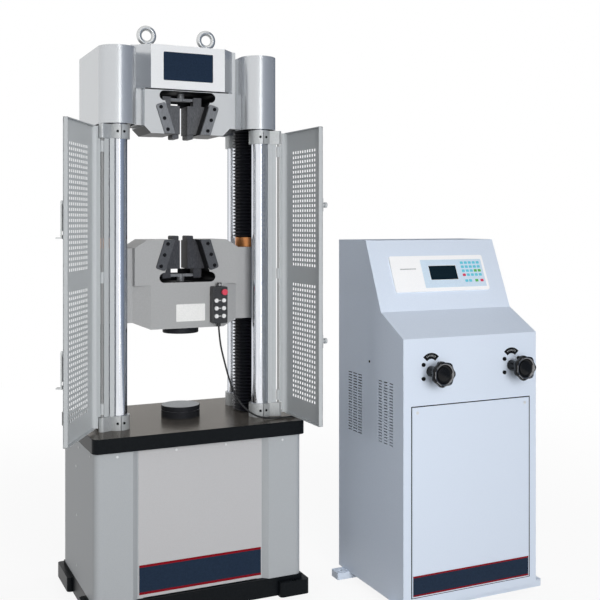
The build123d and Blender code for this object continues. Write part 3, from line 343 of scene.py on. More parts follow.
def read(items, key, width=3, kind=np.float32):
    """Numbers of every item of a mesh, such as the three of a vertex's place, a row for each."""
    values = np.empty(len(items) * width, kind)
    items.foreach_get(key, values)
    return values.reshape(-1, width) if width > 1 else values


def second_finish(piece, finish, picks):
    """Add a finish on the faces that the rule picks from their middles in mm and their normals."""
    mesh = piece.data
    mesh.materials.append(finish)
    picked = picks(read(mesh.polygons, "center") / MM, read(mesh.polygons, "normal"))
    index = read(mesh.polygons, "material_index", 1, np.int32)
    index[picked] = len(mesh.materials) - 1
    mesh.polygons.foreach_set("material_index", index)
    print(piece.name, int(picked.sum()), "faces with", finish.name)


def in_pocket(mouth, direction):
    """Faces deeper than the mouth and nearer to the middle than the pocket's walls."""

    def picks(middle, normal):
        depth = direction * (middle[:, 2] - mouth)
        near = (np.abs(middle[:, 0]) < pocket_half_x) & (np.abs(middle[:, 1]) < pocket_half_y)
        return near & (depth > 1) & (depth < pocket_depth)

    return picks


def rises(low, high):
    """Faces whose normal rises by a share in this range: 1 is straight up and -1 straight down."""

    def picks(middle, normal):
        return (normal[:, 2] > low) & (normal[:, 2] < high)

    return picks


def looks_inward(middle, normal):
    """Faces that look to the middle of the cabinet."""
    return np.sum(normal * (cabinet_middle - middle), axis=1) > 0


def on_flank(middle, normal):
    """Faces far from the middle that look to the left or right, also on a slant."""
    return (np.abs(normal[:, 0]) > flank_turn) & (np.abs(middle[:, 0]) > flank_from_x)


def near_hinge(middle, normal):
    """Faces close to a hinge axis."""
    return np.hypot(np.abs(middle[:, 0]) - hinge_x, middle[:, 1] - hinge_y) < rod_reach


for name, finish, picks in (
    ("work_table", base_black, rises(-np.inf, level_top)),
    ("front_cover", cover_paint, on_flank),
    ("upper_crosshead", cover_paint, on_flank),
    # Painted shade on the upper crosshead's underside, and further down in both grip pockets.
    ("upper_crosshead", pocket_painted_shade, rises(-np.inf, -lean)),
    # Painted shade on every inner face of the cabinet.
    ("cabinet_shell", inside_painted_shade, looks_inward),
    ("lower_platen", platen_steel, rises(level_top, np.inf)),
    ("guard_posts", rod_paint, near_hinge),
    ("upper_crosshead", pocket_painted_shade, in_pocket(upper_mouth, 1)),
    ("lower_crosshead", pocket_painted_shade, in_pocket(lower_mouth, -1)),
):
    second_finish(nodes[name], finish, picks)

# %% [markdown]
# ## Shapes as arrays
# Every added piece is worked out as an array of points in millimetres and quads between them: a grid of two
# parameters, a profile turned about an axis, or an outline carried along one. One function makes the mesh.


# %% Shapes as arrays
def grid_quads(rows, columns, close_columns=False):
    """Corner numbers of the quads between neighbours in a grid, wrapped where it is closed."""
    last = columns if close_columns else columns - 1
    row, column = np.meshgrid(np.arange(rows - 1), np.arange(last), indexing="ij")
    here, beside = row * columns + column, row * columns + (column + 1) % columns
    return np.stack([here, beside, beside + columns, here + columns], axis=-1).reshape(-1, 4)


def prism(outline, low, high):
    """Outline in the XY plane carried straight along Z from low to high, with a cap at each end."""
    outline = np.asarray(outline, float)
    count = len(outline)
    levels = np.repeat([low, high], count)
    points = np.column_stack([np.tile(outline, (2, 1)), levels])
    caps = np.stack([np.arange(count)[::-1], np.arange(count) + count])
    return points, [grid_quads(2, count, close_columns=True), caps]


def turned(profile, segments):
    """Profile of (radius, height) pairs turned about Z: x is radius times cosine, y is radius times sine."""
    profile = np.asarray(profile, float)
    angle = np.linspace(0, 2 * np.pi, segments, endpoint=False)
    radius, height = profile[:, :1], profile[:, 1:]
    points = np.stack([radius * np.cos(angle), radius * np.sin(angle), height + 0 * angle], axis=-1)
    return points.reshape(-1, 3), [grid_quads(len(profile), segments, close_columns=True)]


def box(x0, x1, y0, y1, z0, z1):
    """Box as a rectangle carried along Z."""
    return prism([(x0, y0), (x1, y0), (x1, y1), (x0, y1)], z0, z1)


def rounded_outline(x0, x1, y0, y1, radius, steps=6):
    """Rectangle with round corners: a quarter circle about each corner's own centre."""
    quarter = np.linspace(0, np.pi / 2, steps)
    angle = np.concatenate([quarter + turn * np.pi / 2 for turn in range(4)])
    centre_x = np.repeat([x1 - radius, x0 + radius, x0 + radius, x1 - radius], steps)
    centre_y = np.repeat([y1 - radius, y1 - radius, y0 + radius, y0 + radius], steps)
    return np.column_stack([centre_x + radius * np.cos(angle), centre_y + radius * np.sin(angle)])


def set_on(shape, origin, right, up):
    """Move a shape from its own axes to a plane: x runs to the right, y up, and z out of the plane."""
    right, up = np.asarray(right, float), np.asarray(up, float)
    axes = np.stack([right, up, np.cross(right, up)])
    return shape[0] @ axes + np.asarray(origin, float), shape[1]


def on_front(shape, y, x=0.0, z=0.0):
    """Stand a shape on a face that looks to the front: its x runs to the right and its y up."""
    return set_on(shape, (x, y, z), (1, 0, 0), (0, 0, 1))


def on_back(shape, y, x=0.0, z=0.0):
    """Stand a shape on a face that looks to the back."""
    return set_on(shape, (x, y, z), (-1, 0, 0), (0, 0, 1))


def on_side(shape, x, y, z):
    """Stand a shape on a face that looks away from the middle to the left or right."""
    return set_on(shape, (x, y, z), (0, math.copysign(1, x), 0), (0, 0, 1))


def make_piece(name, shapes, finish, body="machine_base", sharp=35.0):
    """Join shapes into one mesh in metres, close its seams, turn its faces out, and let it ride a body."""
    points, faces, start = [], [], 0
    for shape_points, shape_faces in shapes:
        points.append(shape_points * MM)
        faces += [row for quads in shape_faces for row in (quads + start).tolist()]
        start += len(shape_points)
    mesh = bpy.data.meshes.new(name)
    mesh.from_pydata(np.concatenate(points).tolist(), [], faces)
    work = bmesh.new()
    work.from_mesh(mesh)
    bmesh.ops.remove_doubles(work, verts=work.verts, dist=1e-6)
    bmesh.ops.recalc_face_normals(work, faces=work.faces)
    work.to_mesh(mesh)
    work.free()
    mesh.shade_smooth()
    mesh.set_sharp_from_angle(angle=math.radians(sharp))
    mesh.materials.append(finish)
    piece = new_object(name, mesh)
    if body:
        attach(piece, body)
    print(name, len(mesh.polygons), "faces")
    return piece


# %% [markdown]
# ## Perforated guard doors
# Each door is a steel tray: a flat sheet with two fields of square holes, a round edge that turns back to the
# hinge, and a narrow rim. A texture with holes would look thin from the side, so the holes are cut in the
# mesh. A narrow web closes the gap between each guard post and its column.

# %% Door sizes
door_width, door_offset, door_sheet, door_rim = 312.0, 36.0, 2.5, 16.0
door_bottom, door_top = 674.0, 1770.0
bend_radius = 17.0
wing_end, tongue_end = -14.0, -5.5
tongue_low, tongue_high = 716.0, 1724.0
open_left, open_right = 120.5, 91.0
hole_first, hole_columns, hole_pitch, hole_size = 58.0, 10, 20.2, 12.6
field_starts, hole_rows, row_pitch, row_height = (745.5, 1253.5), 24, 18.7, 10.5
sleeve_levels, sleeve_height, sleeve_radius, rod_radius = (724.0, 1200.0, 1676.0), 40.0, 7.0, 4.08
latch_levels = (985.0, 1484.0)
door_front = -door_offset


# %% Perforated guard doors
def perforated_sheet():
    """Sheet on a grid along the hole edges: hole cells and the border get walls, other cells two faces."""
    first = hole_first + (hole_pitch - hole_size) / 2
    column_edges = first + np.arange(hole_columns)[:, None] * hole_pitch + [0, hole_size]
    lines_x = -np.concatenate([[bend_radius], column_edges.ravel(), [door_width]])
    row_edges = np.arange(hole_rows)[:, None] * row_pitch + [0, row_height]
    fields = [start + row_edges.ravel() for start in field_starts]
    lines_z = np.concatenate([[door_bottom], *fields, [door_top]])
    hole_x = np.arange(len(lines_x) - 1) % 2 == 1
    hole_z = np.arange(len(lines_z) - 1) % 2 == 1
    is_hole = (hole_x[:, None] & hole_z[None, :]).ravel()
    rows, columns = len(lines_x), len(lines_z)
    count = rows * columns
    x, z = np.meshgrid(lines_x, lines_z, indexing="ij")
    front = np.column_stack([x.ravel(), np.full(count, door_front), z.ravel()])
    back = front + (0, door_sheet, 0)
    quads = grid_quads(rows, columns)
    solid, holes = quads[~is_hole], quads[is_hole]
    number = np.arange(count).reshape(rows, columns)
    border = np.concatenate([number[0], number[1:, -1], number[-1, -2::-1], number[-2::-1, 0]])
    edges = [np.stack([holes[:, i], holes[:, (i + 1) % 4]], axis=1) for i in range(4)]
    edges.append(np.stack([border[:-1], border[1:]], axis=1))
    edges = np.concatenate(edges)
    walls = np.column_stack([edges, edges[:, ::-1] + count])
    return np.concatenate([front, back]), [solid, solid[:, ::-1] + count, walls]


def door_shapes():
    """Right door, shut, about its hinge axis: sheet, quarter bend, wing, tongue, rims and hinge sleeves."""
    turn = np.linspace(-np.pi / 2, 0, 9)
    arc = np.column_stack([np.cos(turn), np.sin(turn)])
    centre = (-bend_radius, door_front + bend_radius)
    outer = bend_radius * arc + centre
    inner = (bend_radius - door_sheet) * arc + centre
    rim_end = door_front + door_rim
    shapes = [
        perforated_sheet(),
        prism(np.concatenate([outer, inner[::-1]]), door_bottom, door_top),
        box(-door_sheet, 0, centre[1], wing_end, door_bottom, door_top),
        box(-door_sheet, 0, wing_end - 1, tongue_end, tongue_low, tongue_high),
        box(-door_width, -door_width + door_sheet, door_front, rim_end, door_bottom, door_top),
        box(-door_width, -bend_radius, door_front, rim_end, door_bottom, door_bottom + door_sheet),
        box(-door_width, -bend_radius, door_front, rim_end, door_top - door_sheet, door_top),
    ]
    for low in sleeve_levels:
        high = low + sleeve_height
        wall = [(rod_radius, low), (sleeve_radius, low), (sleeve_radius, high), (rod_radius, high)]
        shapes.append(turned(wall + wall[:1], 24))
    return shapes


def swung(shapes, side, degrees):
    """Mirror for the left side, turn about the hinge axis, and move to the hinge: the place at rest."""
    angle = math.radians(degrees)
    cos, sin = math.cos(angle), math.sin(angle)
    turn = np.array([[cos, sin, 0], [-sin, cos, 0], [0, 0, 1]])
    hinge = (side * hinge_x, hinge_y, 0)
    return [((points * (side, 1, 1)) @ turn + hinge, faces) for points, faces in shapes]


def toward_front(x, level, profile):
    """Round stud on the door's face, from a profile of (radius, distance in front of the hinge axis)."""
    shape = turned([(radius, -y) for radius, y in profile], 20)
    return on_front(shape, 0.0, x, level)


# %% Door catches and leaves
catch_x, latch_x = -door_width + 15, -door_width + 12
catch_stud = [(0, door_front), (5, door_front), (5, -49.1), (10, -49.1), (10, -58), (9, -59.1), (0, -59.1)]
latch_stud = [(0, door_front), (9, door_front), (9, -41), (4, -41), (4, -46.6), (0, -46.6)]
right_shapes, left_shapes = door_shapes(), door_shapes()
for level in latch_levels:
    backing = box(catch_x - 15, catch_x + 12, door_front - door_sheet, door_front, level - 24, level + 24)
    right_shapes += [backing, toward_front(catch_x, level, catch_stud)]
    left_shapes.append(toward_front(latch_x, level, latch_stud))

right_leaf = make_piece("right_door_leaf", swung(right_shapes, 1, open_right), door_paint, "right_door")
left_leaf = make_piece("left_door_leaf", swung(left_shapes, -1, -open_left), door_paint, "left_door")
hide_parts("right_door")
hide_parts("left_door")

# %% Guard post webs
web_inner, web_outer, web_thick = 303.0, 320.0, 5.0
post_low, post_high = 714.0, 1726.0
web_near, web_far = hinge_y - web_thick / 2, hinge_y + web_thick / 2
webs = [
    box(x0, x1, web_near, web_far, post_low, post_high)
    for x0, x1 in ((-web_outer, -web_inner), (web_inner, web_outer))
]
make_piece("guard_post_webs", webs, door_paint, "table_frame")

# %% [markdown]
# ## Pleated bellows
# Square bellows keep dust off the lead screws. The sleeve is a grid of turns round the screw and levels along
# it: a square with round corners whose half width swings between outer and inner fold at every half pleat.
# Each sleeve ends at a level that stays still.

# %% Pleated bellows
screw_x = 281.0
fold_out, fold_in, pleat = 50.0, 37.0, 13.0
corner_power = 7.0
round_steps = 48


def bellows_sleeve(centre_x, low, high):
    """Radius is half width over the seventh root of |cos|^7 plus |sin|^7: a square with soft corners."""
    pleats = max(2, round((high - low) / pleat))
    level = np.linspace(low, high, 2 * pleats + 1)
    half = np.where(np.arange(2 * pleats + 1) % 2 == 0, fold_in, fold_out)
    angle = np.linspace(0, 2 * np.pi, round_steps, endpoint=False)
    power_sum = np.abs(np.cos(angle)) ** corner_power + np.abs(np.sin(angle)) ** corner_power
    radius = half[:, None] * power_sum ** (-1 / corner_power)
    x, y = centre_x + radius * np.cos(angle), radius * np.sin(angle)
    points = np.stack([x, y, level[:, None] + 0 * angle], axis=-1)
    return points.reshape(-1, 3), [grid_quads(len(level), round_steps, close_columns=True)]


def unroll(piece):
    """UV in millimetres: across is the angle round the screw times the outer fold, down is the level."""
    mesh = piece.data
    place = read(mesh.vertices, "co")[read(mesh.loops, "vertex_index", 1, np.int32)] / MM
    across = np.arctan2(place[:, 1], np.abs(place[:, 0]) - screw_x) * fold_out
    layer = mesh.uv_layers.new(name="unrolled")
    layer.data.foreach_set("uv", np.column_stack([across, place[:, 2]]).ravel().astype(np.float32))


for name, low, high, upper_body, lower_body in (
    ("upper_bellows_heads", 1730.0, 1790.0, "table_frame", "machine_base"),
    ("upper_bellows_tails", 1360.0, 1730.0, "machine_base", "moving_crosshead"),
    ("lower_bellows_heads", 910.0, 1040.0, "moving_crosshead", "machine_base"),
    ("lower_bellows_tails", 662.0, 910.0, "machine_base", "table_frame"),
):
    sleeves = [bellows_sleeve(side * screw_x, low, high) for side in (-1, 1)]
    piece = make_piece(name + "_pleats", sleeves, bellows_cloth, None, sharp=80)
    unroll(piece)
    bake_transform(piece)
    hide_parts(name)

# %% [markdown]
# ## Pendant cable
# The cable hangs from the pendant to the table and runs over its edge into a socket. Its route is a smooth
# spline led by a few given points. A tube is carried along points read from that spline, in two parts that
# meet at a still level.

# %% Pendant cable
cable_radius = 3.5
drop_route = ((119, -110, 1017), (122, -113, 962), (131, -122, 906), (142, -136, 850))
tail_route = (
    (142, -136, 850), (153, -150, 794), (172, -176, 738), (203, -204, 697),
    (250, -216, 671), (306, -220, 665.8), (352, -223, 665.8), (390, -221, 665.8),
    (416, -212, 666.5), (426, -190, 652), (425, -162, 639), (424, -134, 636),
)
slanting = (0.6, -0.5, 0.6)


def spline_points(name, route):
    """Points along a NURBS curve of order 3 that has the route as its control points, in millimetres."""
    curve = bpy.data.curves.new(name, "CURVE")
    curve.dimensions = "3D"
    curve.resolution_u = 10
    spline = curve.splines.new("NURBS")
    spline.points.add(len(route) - 1)
    spline.points.foreach_set("co", np.column_stack([np.array(route) * MM, np.ones(len(route))]).ravel())
    spline.order_u = 3
    spline.use_endpoint_u = True
    holder = bpy.data.objects.new(name, curve)
    mesh = bpy.data.meshes.new_from_object(holder)
    points = read(mesh.vertices, "co").astype(float) / MM
    bpy.data.objects.remove(holder)
    bpy.data.meshes.remove(mesh)
    return points


def tube(path, radius, segments=12):
    """Circle carried along the path: one axis is across it and a slanting line, the other across both."""
    along = np.gradient(path, axis=0)
    along /= np.linalg.norm(along, axis=1, keepdims=True)
    side = np.cross(along, slanting)
    side /= np.linalg.norm(side, axis=1, keepdims=True)
    rise = np.cross(along, side)
    angle = np.linspace(0, 2 * np.pi, segments, endpoint=False)[:, None]
    ring = np.cos(angle) * side[:, None] + np.sin(angle) * rise[:, None]
    points = path[:, None] + radius * ring
    caps = np.stack([np.arange(segments)[::-1], np.arange(segments) + (len(path) - 1) * segments])
    return points.reshape(-1, 3), [grid_quads(len(path), segments, close_columns=True), caps]


for name, route, bodies, lay in (
    ("pendant_cable_drop", drop_route, ("moving_crosshead", "machine_base"), "hanging"),
    ("pendant_cable_tail", tail_route, ("machine_base", "table_frame"), "loose"),
):
    path = spline_points(name + "_line", route)
    piece = make_piece(name + "_tube", [tube(path, cable_radius)], cable_rubber, None)
    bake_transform(piece)
    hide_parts(name)

# %% [markdown]
# ## Screws
# Grip plates, clamps, panels and valves are held by socket screws. A screw head is one short profile turned
# about its axis, with a socket sunk in it. There are many, so each has under a hundred faces. A thin plate in
# the pocket's painted shade also closes each grip pocket at the back, clear of the gap that a specimen needs.

# %% Grip screws
wedge_tan = math.tan(math.radians(18.0))
plate_front = 94.0
screw_line_x, screw_line_start = 76.0155, 4.0
screw_levels = (16.0, 58.0, 100.5)


def screw_head(radius, height, foot=-1.0):
    """Head with a soft edge and a socket half as wide, from its foot just under level 0."""
    profile = [
        (0, foot), (radius, foot), (radius, 0.8 * height), (0.85 * radius, height),
        (0.5 * radius, height), (0.45 * radius, 0.3 * height), (0, 0.3 * height),
    ]
    return turned(profile, 12)


def base_screws(name, radius, height, finish, places):
    """Equal screws on fixed faces: each place has the way that its face looks and three measures."""
    head = screw_head(radius, height)
    make_piece(name, [stand(head, *place) for stand, *place in places], finish)


def grip_screws(mouth, direction):
    """Three screws in each of four plates, moved out along the wedge's slope as the level rises."""
    head = screw_head(radius=7.2, height=3.0)
    heads = []
    for side in (-1, 1):
        for level in screw_levels:
            x = side * (screw_line_x + (level - screw_line_start) * wedge_tan)
            z = mouth + direction * level
            heads += [on_front(head, -plate_front, x, z), on_back(head, plate_front, x, z)]
    return heads


make_piece("upper_grip_screws", grip_screws(upper_mouth, 1), screw_black, "table_frame")
make_piece("lower_grip_screws", grip_screws(lower_mouth, -1), screw_black, "moving_crosshead")

# %% Pocket back plates
slot_middle, slot_radius, slot_end = 145.0, 19.0, 93.0
plate_foot, foot_half, notch_half, notch_top = 119.0, 87.0, 15.0, 135.0
plate_y, plate_thick = 86.0, 3.0


def pocket_back(mouth, direction):
    """Plate over the back of the link bar's slot: two half circles, a straight foot and a notch in it."""
    turn = np.linspace(-np.pi / 2, np.pi / 2, 13)
    arc = slot_radius * np.column_stack([np.cos(turn), np.sin(turn)])
    right, left = arc + (slot_end, slot_middle), -arc + (-slot_end, slot_middle)
    foot = [(-foot_half, plate_foot), (-notch_half, plate_foot), (-notch_half, notch_top)]
    outline = np.concatenate([right, left, foot, [(-x, level) for x, level in foot[::-1]]])
    outline[:, 1] = mouth + direction * outline[:, 1]
    return on_front(prism(outline, 0, plate_thick), plate_y)


# The back plates take the pocket's painted shade.
make_piece("upper_pocket_back", [pocket_back(upper_mouth, 1)], pocket_painted_shade, "table_frame")
make_piece("lower_pocket_back", [pocket_back(lower_mouth, -1)], pocket_painted_shade, "moving_crosshead")

# %% Clamp screws
column_x, column_y, clamp_radius = 281.0, 131.0, 42.0
clamp_levels = (688.0, 1752.0)
clamp_screw_x = 12.0
clamp_face = math.sqrt(clamp_radius**2 - clamp_screw_x**2)
clamp_head = screw_head(radius=5.0, height=1.2, foot=-3.0)
clamp_screws = [
    on_front(clamp_head, row * column_y - clamp_face, side * column_x + dx, z)
    for side in (-1, 1) for row in (-1, 1) for dx in (-clamp_screw_x, clamp_screw_x) for z in clamp_levels
]
make_piece("clamp_screws", clamp_screws, screw_black, "table_frame")

# %% Housing screws
housing_side, shell_y, panel_y = 400.0, 268.0, 253.0
side_places = ((36, 498), (26, 316), (26, 126), (-6, 578), (-193, 586))
face_places = ((shell_y, -319, 591), (shell_y, 319, 591), (panel_y, -97, 592), (panel_y, 95, 592))
places = [(on_side, side * housing_side, y, z) for side in (-1, 1) for y, z in side_places]
places += [(on_front, -y, x, z) for y, x, z in face_places]
places += [(on_back, y, x, z) for y, x, z in face_places]
base_screws("housing_screws", 4.5, 1.6, screw_zinc, places)

# %% Cabinet screws
cabinet_front, cabinet_back, cabinet_side = -642.0, -138.0, 629.0
access_front, access_back = -645.0, -135.0
lock_x, lock_z = (686, 1167), 730
back_columns, back_rows = (683, 926, 1169), (82, 406, 730)
valve_x, valve_z = (746.0, 1106.0), 877.0
valve_corners = [(dx, dz) for dx in (-33, 33) for dz in (-25.5, 25.5)]
plug_place = (cabinet_side, -392, 887)

base_screws("access_panel_locks", 6.0, 1.6, screw_zinc, [(on_front, access_front, x, lock_z) for x in lock_x])
places = [(on_back, access_back, x, z) for x in back_columns for z in back_rows]
del places[len(places) // 2]
base_screws("back_panel_screws", 5.0, 2.0, screw_zinc, places)
places = [(on_front, cabinet_front, x + dx, valve_z + dz) for x in valve_x for dx, dz in valve_corners]
base_screws("valve_screws", 7.5, 6.0, screw_black, places)
side_plug = set_on(screw_head(radius=5.0, height=1.0), plug_place, (0, -1, 0), (0, 0, 1))
make_piece("cabinet_side_plug", [side_plug], screw_black)

# %% [markdown]
# ## Handwheels
# The two valves have black phenolic handwheels with shallow finger hollows. The wheel is one profile turned
# about the spindle, and the radius gets a wave of seven lobes that grows towards the rim. Hands have polished
# the front of the rim.

# %% Handwheels
wheel_lobes, wheel_steps = 7, 84
hollow_from, hollow_to, hollow_depth = 34.0, 46.0, 0.05
crown_inner, crown_outer, crown_back = 33.0, 41.0, 82.0
wheel_profile = [
    (0, 87), (24, 87), (26, 86), (26.5, 82.3), (31, 82.3), (33, 84), (34.5, 89),
    (37, 91.5), (40, 92), (44, 91.5), (47, 89), (48, 85), (48, 77), (46.5, 72.5),
    (42, 70), (26, 70), (21, 68), (20, 62), (20, 0.3), (0, 0.3),
]


def handwheel(centre_x):
    """Turned profile of (radius, distance in front of the cabinet), with a wave in the radius at the rim."""
    points, faces = turned(wheel_profile, wheel_steps)
    radius = np.hypot(points[:, 0], points[:, 1])
    angle = np.arctan2(points[:, 1], points[:, 0])
    weight = np.clip((radius - hollow_from) / (hollow_to - hollow_from), 0, 1)
    factor = 1 - hollow_depth * weight * (1 - np.cos(wheel_lobes * angle))
    points = points * np.column_stack([factor, factor, np.ones(len(factor))])
    return on_front((points, faces), cabinet_front, centre_x, valve_z)


def on_crown(centre_x):
    """Faces on the front of the rim, between the dish and the finger hollows."""

    def picks(middle, normal):
        radius = np.hypot(middle[:, 0] - centre_x, middle[:, 2] - valve_z)
        in_front = middle[:, 1] < cabinet_front - crown_back
        return (radius > crown_inner) & (radius < crown_outer) & in_front

    return picks


for name, x in zip(("delivery_handwheel", "return_handwheel"), valve_x):
    wheel = make_piece(name + "_lobed", [handwheel(x)], wheel_plastic, name, sharp=60)
    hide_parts(name)
    second_finish(wheel, wheel_polish, on_crown(x))

# %% [markdown]
# ## Valve scales
# Over each handwheel a black plate shaped like a fan shows how far the valve is turned. It is a ring sector
# with pale graduations, spread by angle.

# %% Valve scales
fan_z, fan_inner, fan_outer = 899.0, 23.0, 45.0
fan_back, fan_face = -0.5, 0.8
fan_angles = np.radians(np.linspace(42, 138, 25))
tick_inner, tick_outer, tick_back, tick_face = 32.0, 38.0, 0.5, 1.1
tick_degrees, tick_half = np.linspace(60, 120, 7), 1.2


def ring_sector(inner, outer, angles, low, high):
    """Outline out along the outer arc and back along the inner one, carried forward."""
    edge = np.column_stack([np.cos(angles), np.sin(angles)])
    return prism(np.concatenate([outer * edge, inner * edge[::-1]]), low, high)


fan = ring_sector(fan_inner, fan_outer, fan_angles, fan_back, fan_face)
fans, ticks = [], []
for x in valve_x:
    fans.append(on_front(fan, cabinet_front, x, fan_z))
    for degrees in tick_degrees:
        narrow = np.radians([degrees - tick_half, degrees + tick_half])
        tick = ring_sector(tick_inner, tick_outer, narrow, tick_back, tick_face)
        ticks.append(on_front(tick, cabinet_front, x, fan_z))
make_piece("valve_scale_plates", fans, screw_black)
make_piece("valve_scale_ticks", ticks, tick_white)

# %% [markdown]
# ## Pendant marks
# Beside the stop button the pendant has a small lamp, and a short white dash joins the two buttons of a row.

# %% Pendant marks
pendant_front = -130.0
lamp_x, lamp_z = 102.0, 1151.0
lamp_profile = [(0, -0.5), (4, -0.5), (4, 1.2), (3, 2), (0, 2.2)]
dash_left, dash_right, dash_half = 113.0, 121.0, 1.2
dash_front, dash_back = pendant_front - 0.4, pendant_front + 0.5
button_rows = (1059, 1089, 1119)

lamp_glass = on_front(turned(lamp_profile, 16), pendant_front, lamp_x, lamp_z)
make_piece("pendant_lamp", [lamp_glass], white_plastic, "moving_crosshead")
dashes = [
    box(dash_left, dash_right, dash_front, dash_back, z - dash_half, z + dash_half) for z in button_rows
]
make_piece("pendant_dashes", dashes, white_plastic, "moving_crosshead")

# %% [markdown]
# ## Console keypad
# The display unit is a white bezel with a pale blue film over its right part, a dark window and rows of keys.
# Keys are thin rounded plates set out on the slanted face of the console.

# %% Console keypad
console_origin = (cabinet_side, -480.4, 1082.0)
console_slope = np.array([0, 119.4, 268.0])
console_up = console_slope / np.linalg.norm(console_slope)
bezel_front = 6.0
film_back, film_front = bezel_front - 0.4, bezel_front + 0.4
beside_window = ((219, 251, 89, 205), (379, 505, 89, 205))
under_and_over = ((250, 380, 89, 120.5), (250, 380, 181, 205))


def console_plate(x0, x1, y0, y1, low, high, radius=2.0):
    """Thin plate with round corners on the slanted console, measured from its lower left corner."""
    outline = rounded_outline(x0, x1, y0, y1, radius)
    return set_on(prism(outline, low, high), console_origin, (1, 0, 0), console_up)


overlay = [console_plate(*part, film_back, film_front, 1) for part in beside_window + under_and_over]
make_piece("console_overlay", overlay, overlay_film)

# %% Keys and printer slot
key_colours = ("ccccc", "ccccc", "cccgg", "rcccc")
key_rows = (190.5, 173.0, 156.0, 138.5)
first_key, key_pitch = 410.0, 19.2
last_row, last_keys = 114.0, ((415, "c"), (433, "c"), (463, "g"), (488, "r"))
key_half_x, key_half_y, key_height = 7.0, 5.25, 1.0
slot_place = (121, 193, 167.2, 169.8)
keys = {"c": [], "g": [], "r": []}


def key_plate(x, y):
    """Plate of a key's size about its middle."""
    low, high = y - key_half_y, y + key_half_y
    return console_plate(x - key_half_x, x + key_half_x, low, high, bezel_front, bezel_front + key_height)


for y, colours in zip(key_rows, key_colours):
    for column, colour in enumerate(colours):
        keys[colour].append(key_plate(first_key + key_pitch * column, y))
for x, colour in last_keys:
    keys[colour].append(key_plate(x, last_row))
for colour, label, finish in (("c", "cyan", key_cyan), ("g", "green", key_green), ("r", "red", key_red)):
    make_piece("keypad_keys_" + label, keys[colour], finish)
slot_back, slot_front = bezel_front - 0.2, bezel_front + 0.5
slot = console_plate(*slot_place, slot_back, slot_front, 1)
make_piece("printer_slot", [slot], machined_steel)

# %% [markdown]
# ## Plain plates and bands
# A dark plate sits on the top cover, a pale one on the lower crosshead, and a navy band with dark red edges
# low on each unit's front. All are thin prisms, so they stand out from any side. A dark strip at the joint
# under the front cover's foot is painted shadow of its overhang, and each of the cabinet's two panels stands
# in a narrow dark seam.

# %% Plain plates and bands
cover_front, nose_front = -100.0, -90.0
cover_outline, rating_outline = (-99, 99, 1960, 2068, 4), (-46, 70, 1040, 1106, 3)
foot_shadow_half, foot_shadow_low, foot_shadow_high = 168.0, 1923.5, 1928.0
edge_share = 0.08


def plate(name, outline, thick, y, finish, body="machine_base"):
    """Thin plate with round corners on a front face, set a little into it."""
    make_piece(name, [on_front(prism(rounded_outline(*outline), -0.5, thick), y)], finish, body)


def band(name, x0, x1, z0, z1, y):
    """Navy band with a dark red line along its upper and lower edge."""
    line = edge_share * (z1 - z0)
    plate(name, (x0, x1, z0, z1, 1), 0.6, y, band_paint)
    for label, low in (("_foot_line", z0), ("_head_line", z1 - line)):
        plate(name + label, (x0, x1, low, low + line, 1), 0.9, y, edge_red)


plate("cover_plate", cover_outline, 1.0, cover_front, band_paint, "table_frame")
plate("rating_plate", rating_outline, 0.8, nose_front, blank_film, "moving_crosshead")
# Painted shadow: a black strip at the joint under the front cover's overhang.
cover_foot_painted_shadow = box(-foot_shadow_half, foot_shadow_half, nose_front - 0.8, nose_front + 0.5, foot_shadow_low, foot_shadow_high)
make_piece("cover_foot_painted_shadow", [cover_foot_painted_shadow], cable_rubber, "table_frame")
band("housing_band", -236, 236, 84, 190, -panel_y)
band("cabinet_band", 668, 1184, 66, 140, access_front)

# %% Access panel seams
panel_left, panel_right, panel_low, panel_high = 665.0, 1187.0, 62.0, 750.0
seam, hinge_seam, seam_half = 3.6, 6.0, 0.4


def panel_seam(y):
    """Four flat strips round a panel on the cabinet's front or back wall, half sunk in it."""
    near, far = y - seam_half, y + seam_half
    foot, head = panel_low - seam, panel_high + seam
    return [
        box(panel_left - seam, panel_left, near, far, foot, head),
        box(panel_right, panel_right + hinge_seam, near, far, foot, head),
        box(panel_left, panel_right, near, far, panel_high, head),
        box(panel_left, panel_right, near, far, foot, panel_low),
    ]


seams = panel_seam(cabinet_front) + panel_seam(cabinet_back)
make_piece("access_panel_seams", seams, screw_black)

# %% [markdown]
# ## Floor and light
# The machine stands on white paper. For the camera and for mirrors the floor glows nearly white and keeps a
# faint shadow; for the light that bounces it is a plain grey, so the undersides stay dark. A large soft lamp
# stands near the camera, and weak ones at the sides and behind. A tall narrow lamp draws the streak on the
# columns, and a blue-grey board on the right, which only mirrors see, shades their right side.


# %% Studio helpers
def flat_sheet(name, corners, finish):
    """One face in metres with a finish."""
    mesh = bpy.data.meshes.new(name)
    mesh.from_pydata(corners, [], [(0, 1, 2, 3)])
    mesh.materials.append(finish)
    return new_object(name, mesh)


def seen_by(tree, *kinds):
    """1 for the named kinds of ray and 0 for all others: the largest of their outputs."""
    rays = add(tree, "ShaderNodeLightPath").outputs
    value = rays[kinds[0]]
    for kind in kinds[1:]:
        larger = add(tree, "ShaderNodeMath", {0: value, 1: rays[kind]}, operation="MAXIMUM")
        value = larger.outputs["Value"]
    return value


def show(tree, output):
    """Make a shader's output the surface of its material."""
    tree.links.new(output, tree.nodes["Material Output"].inputs["Surface"])


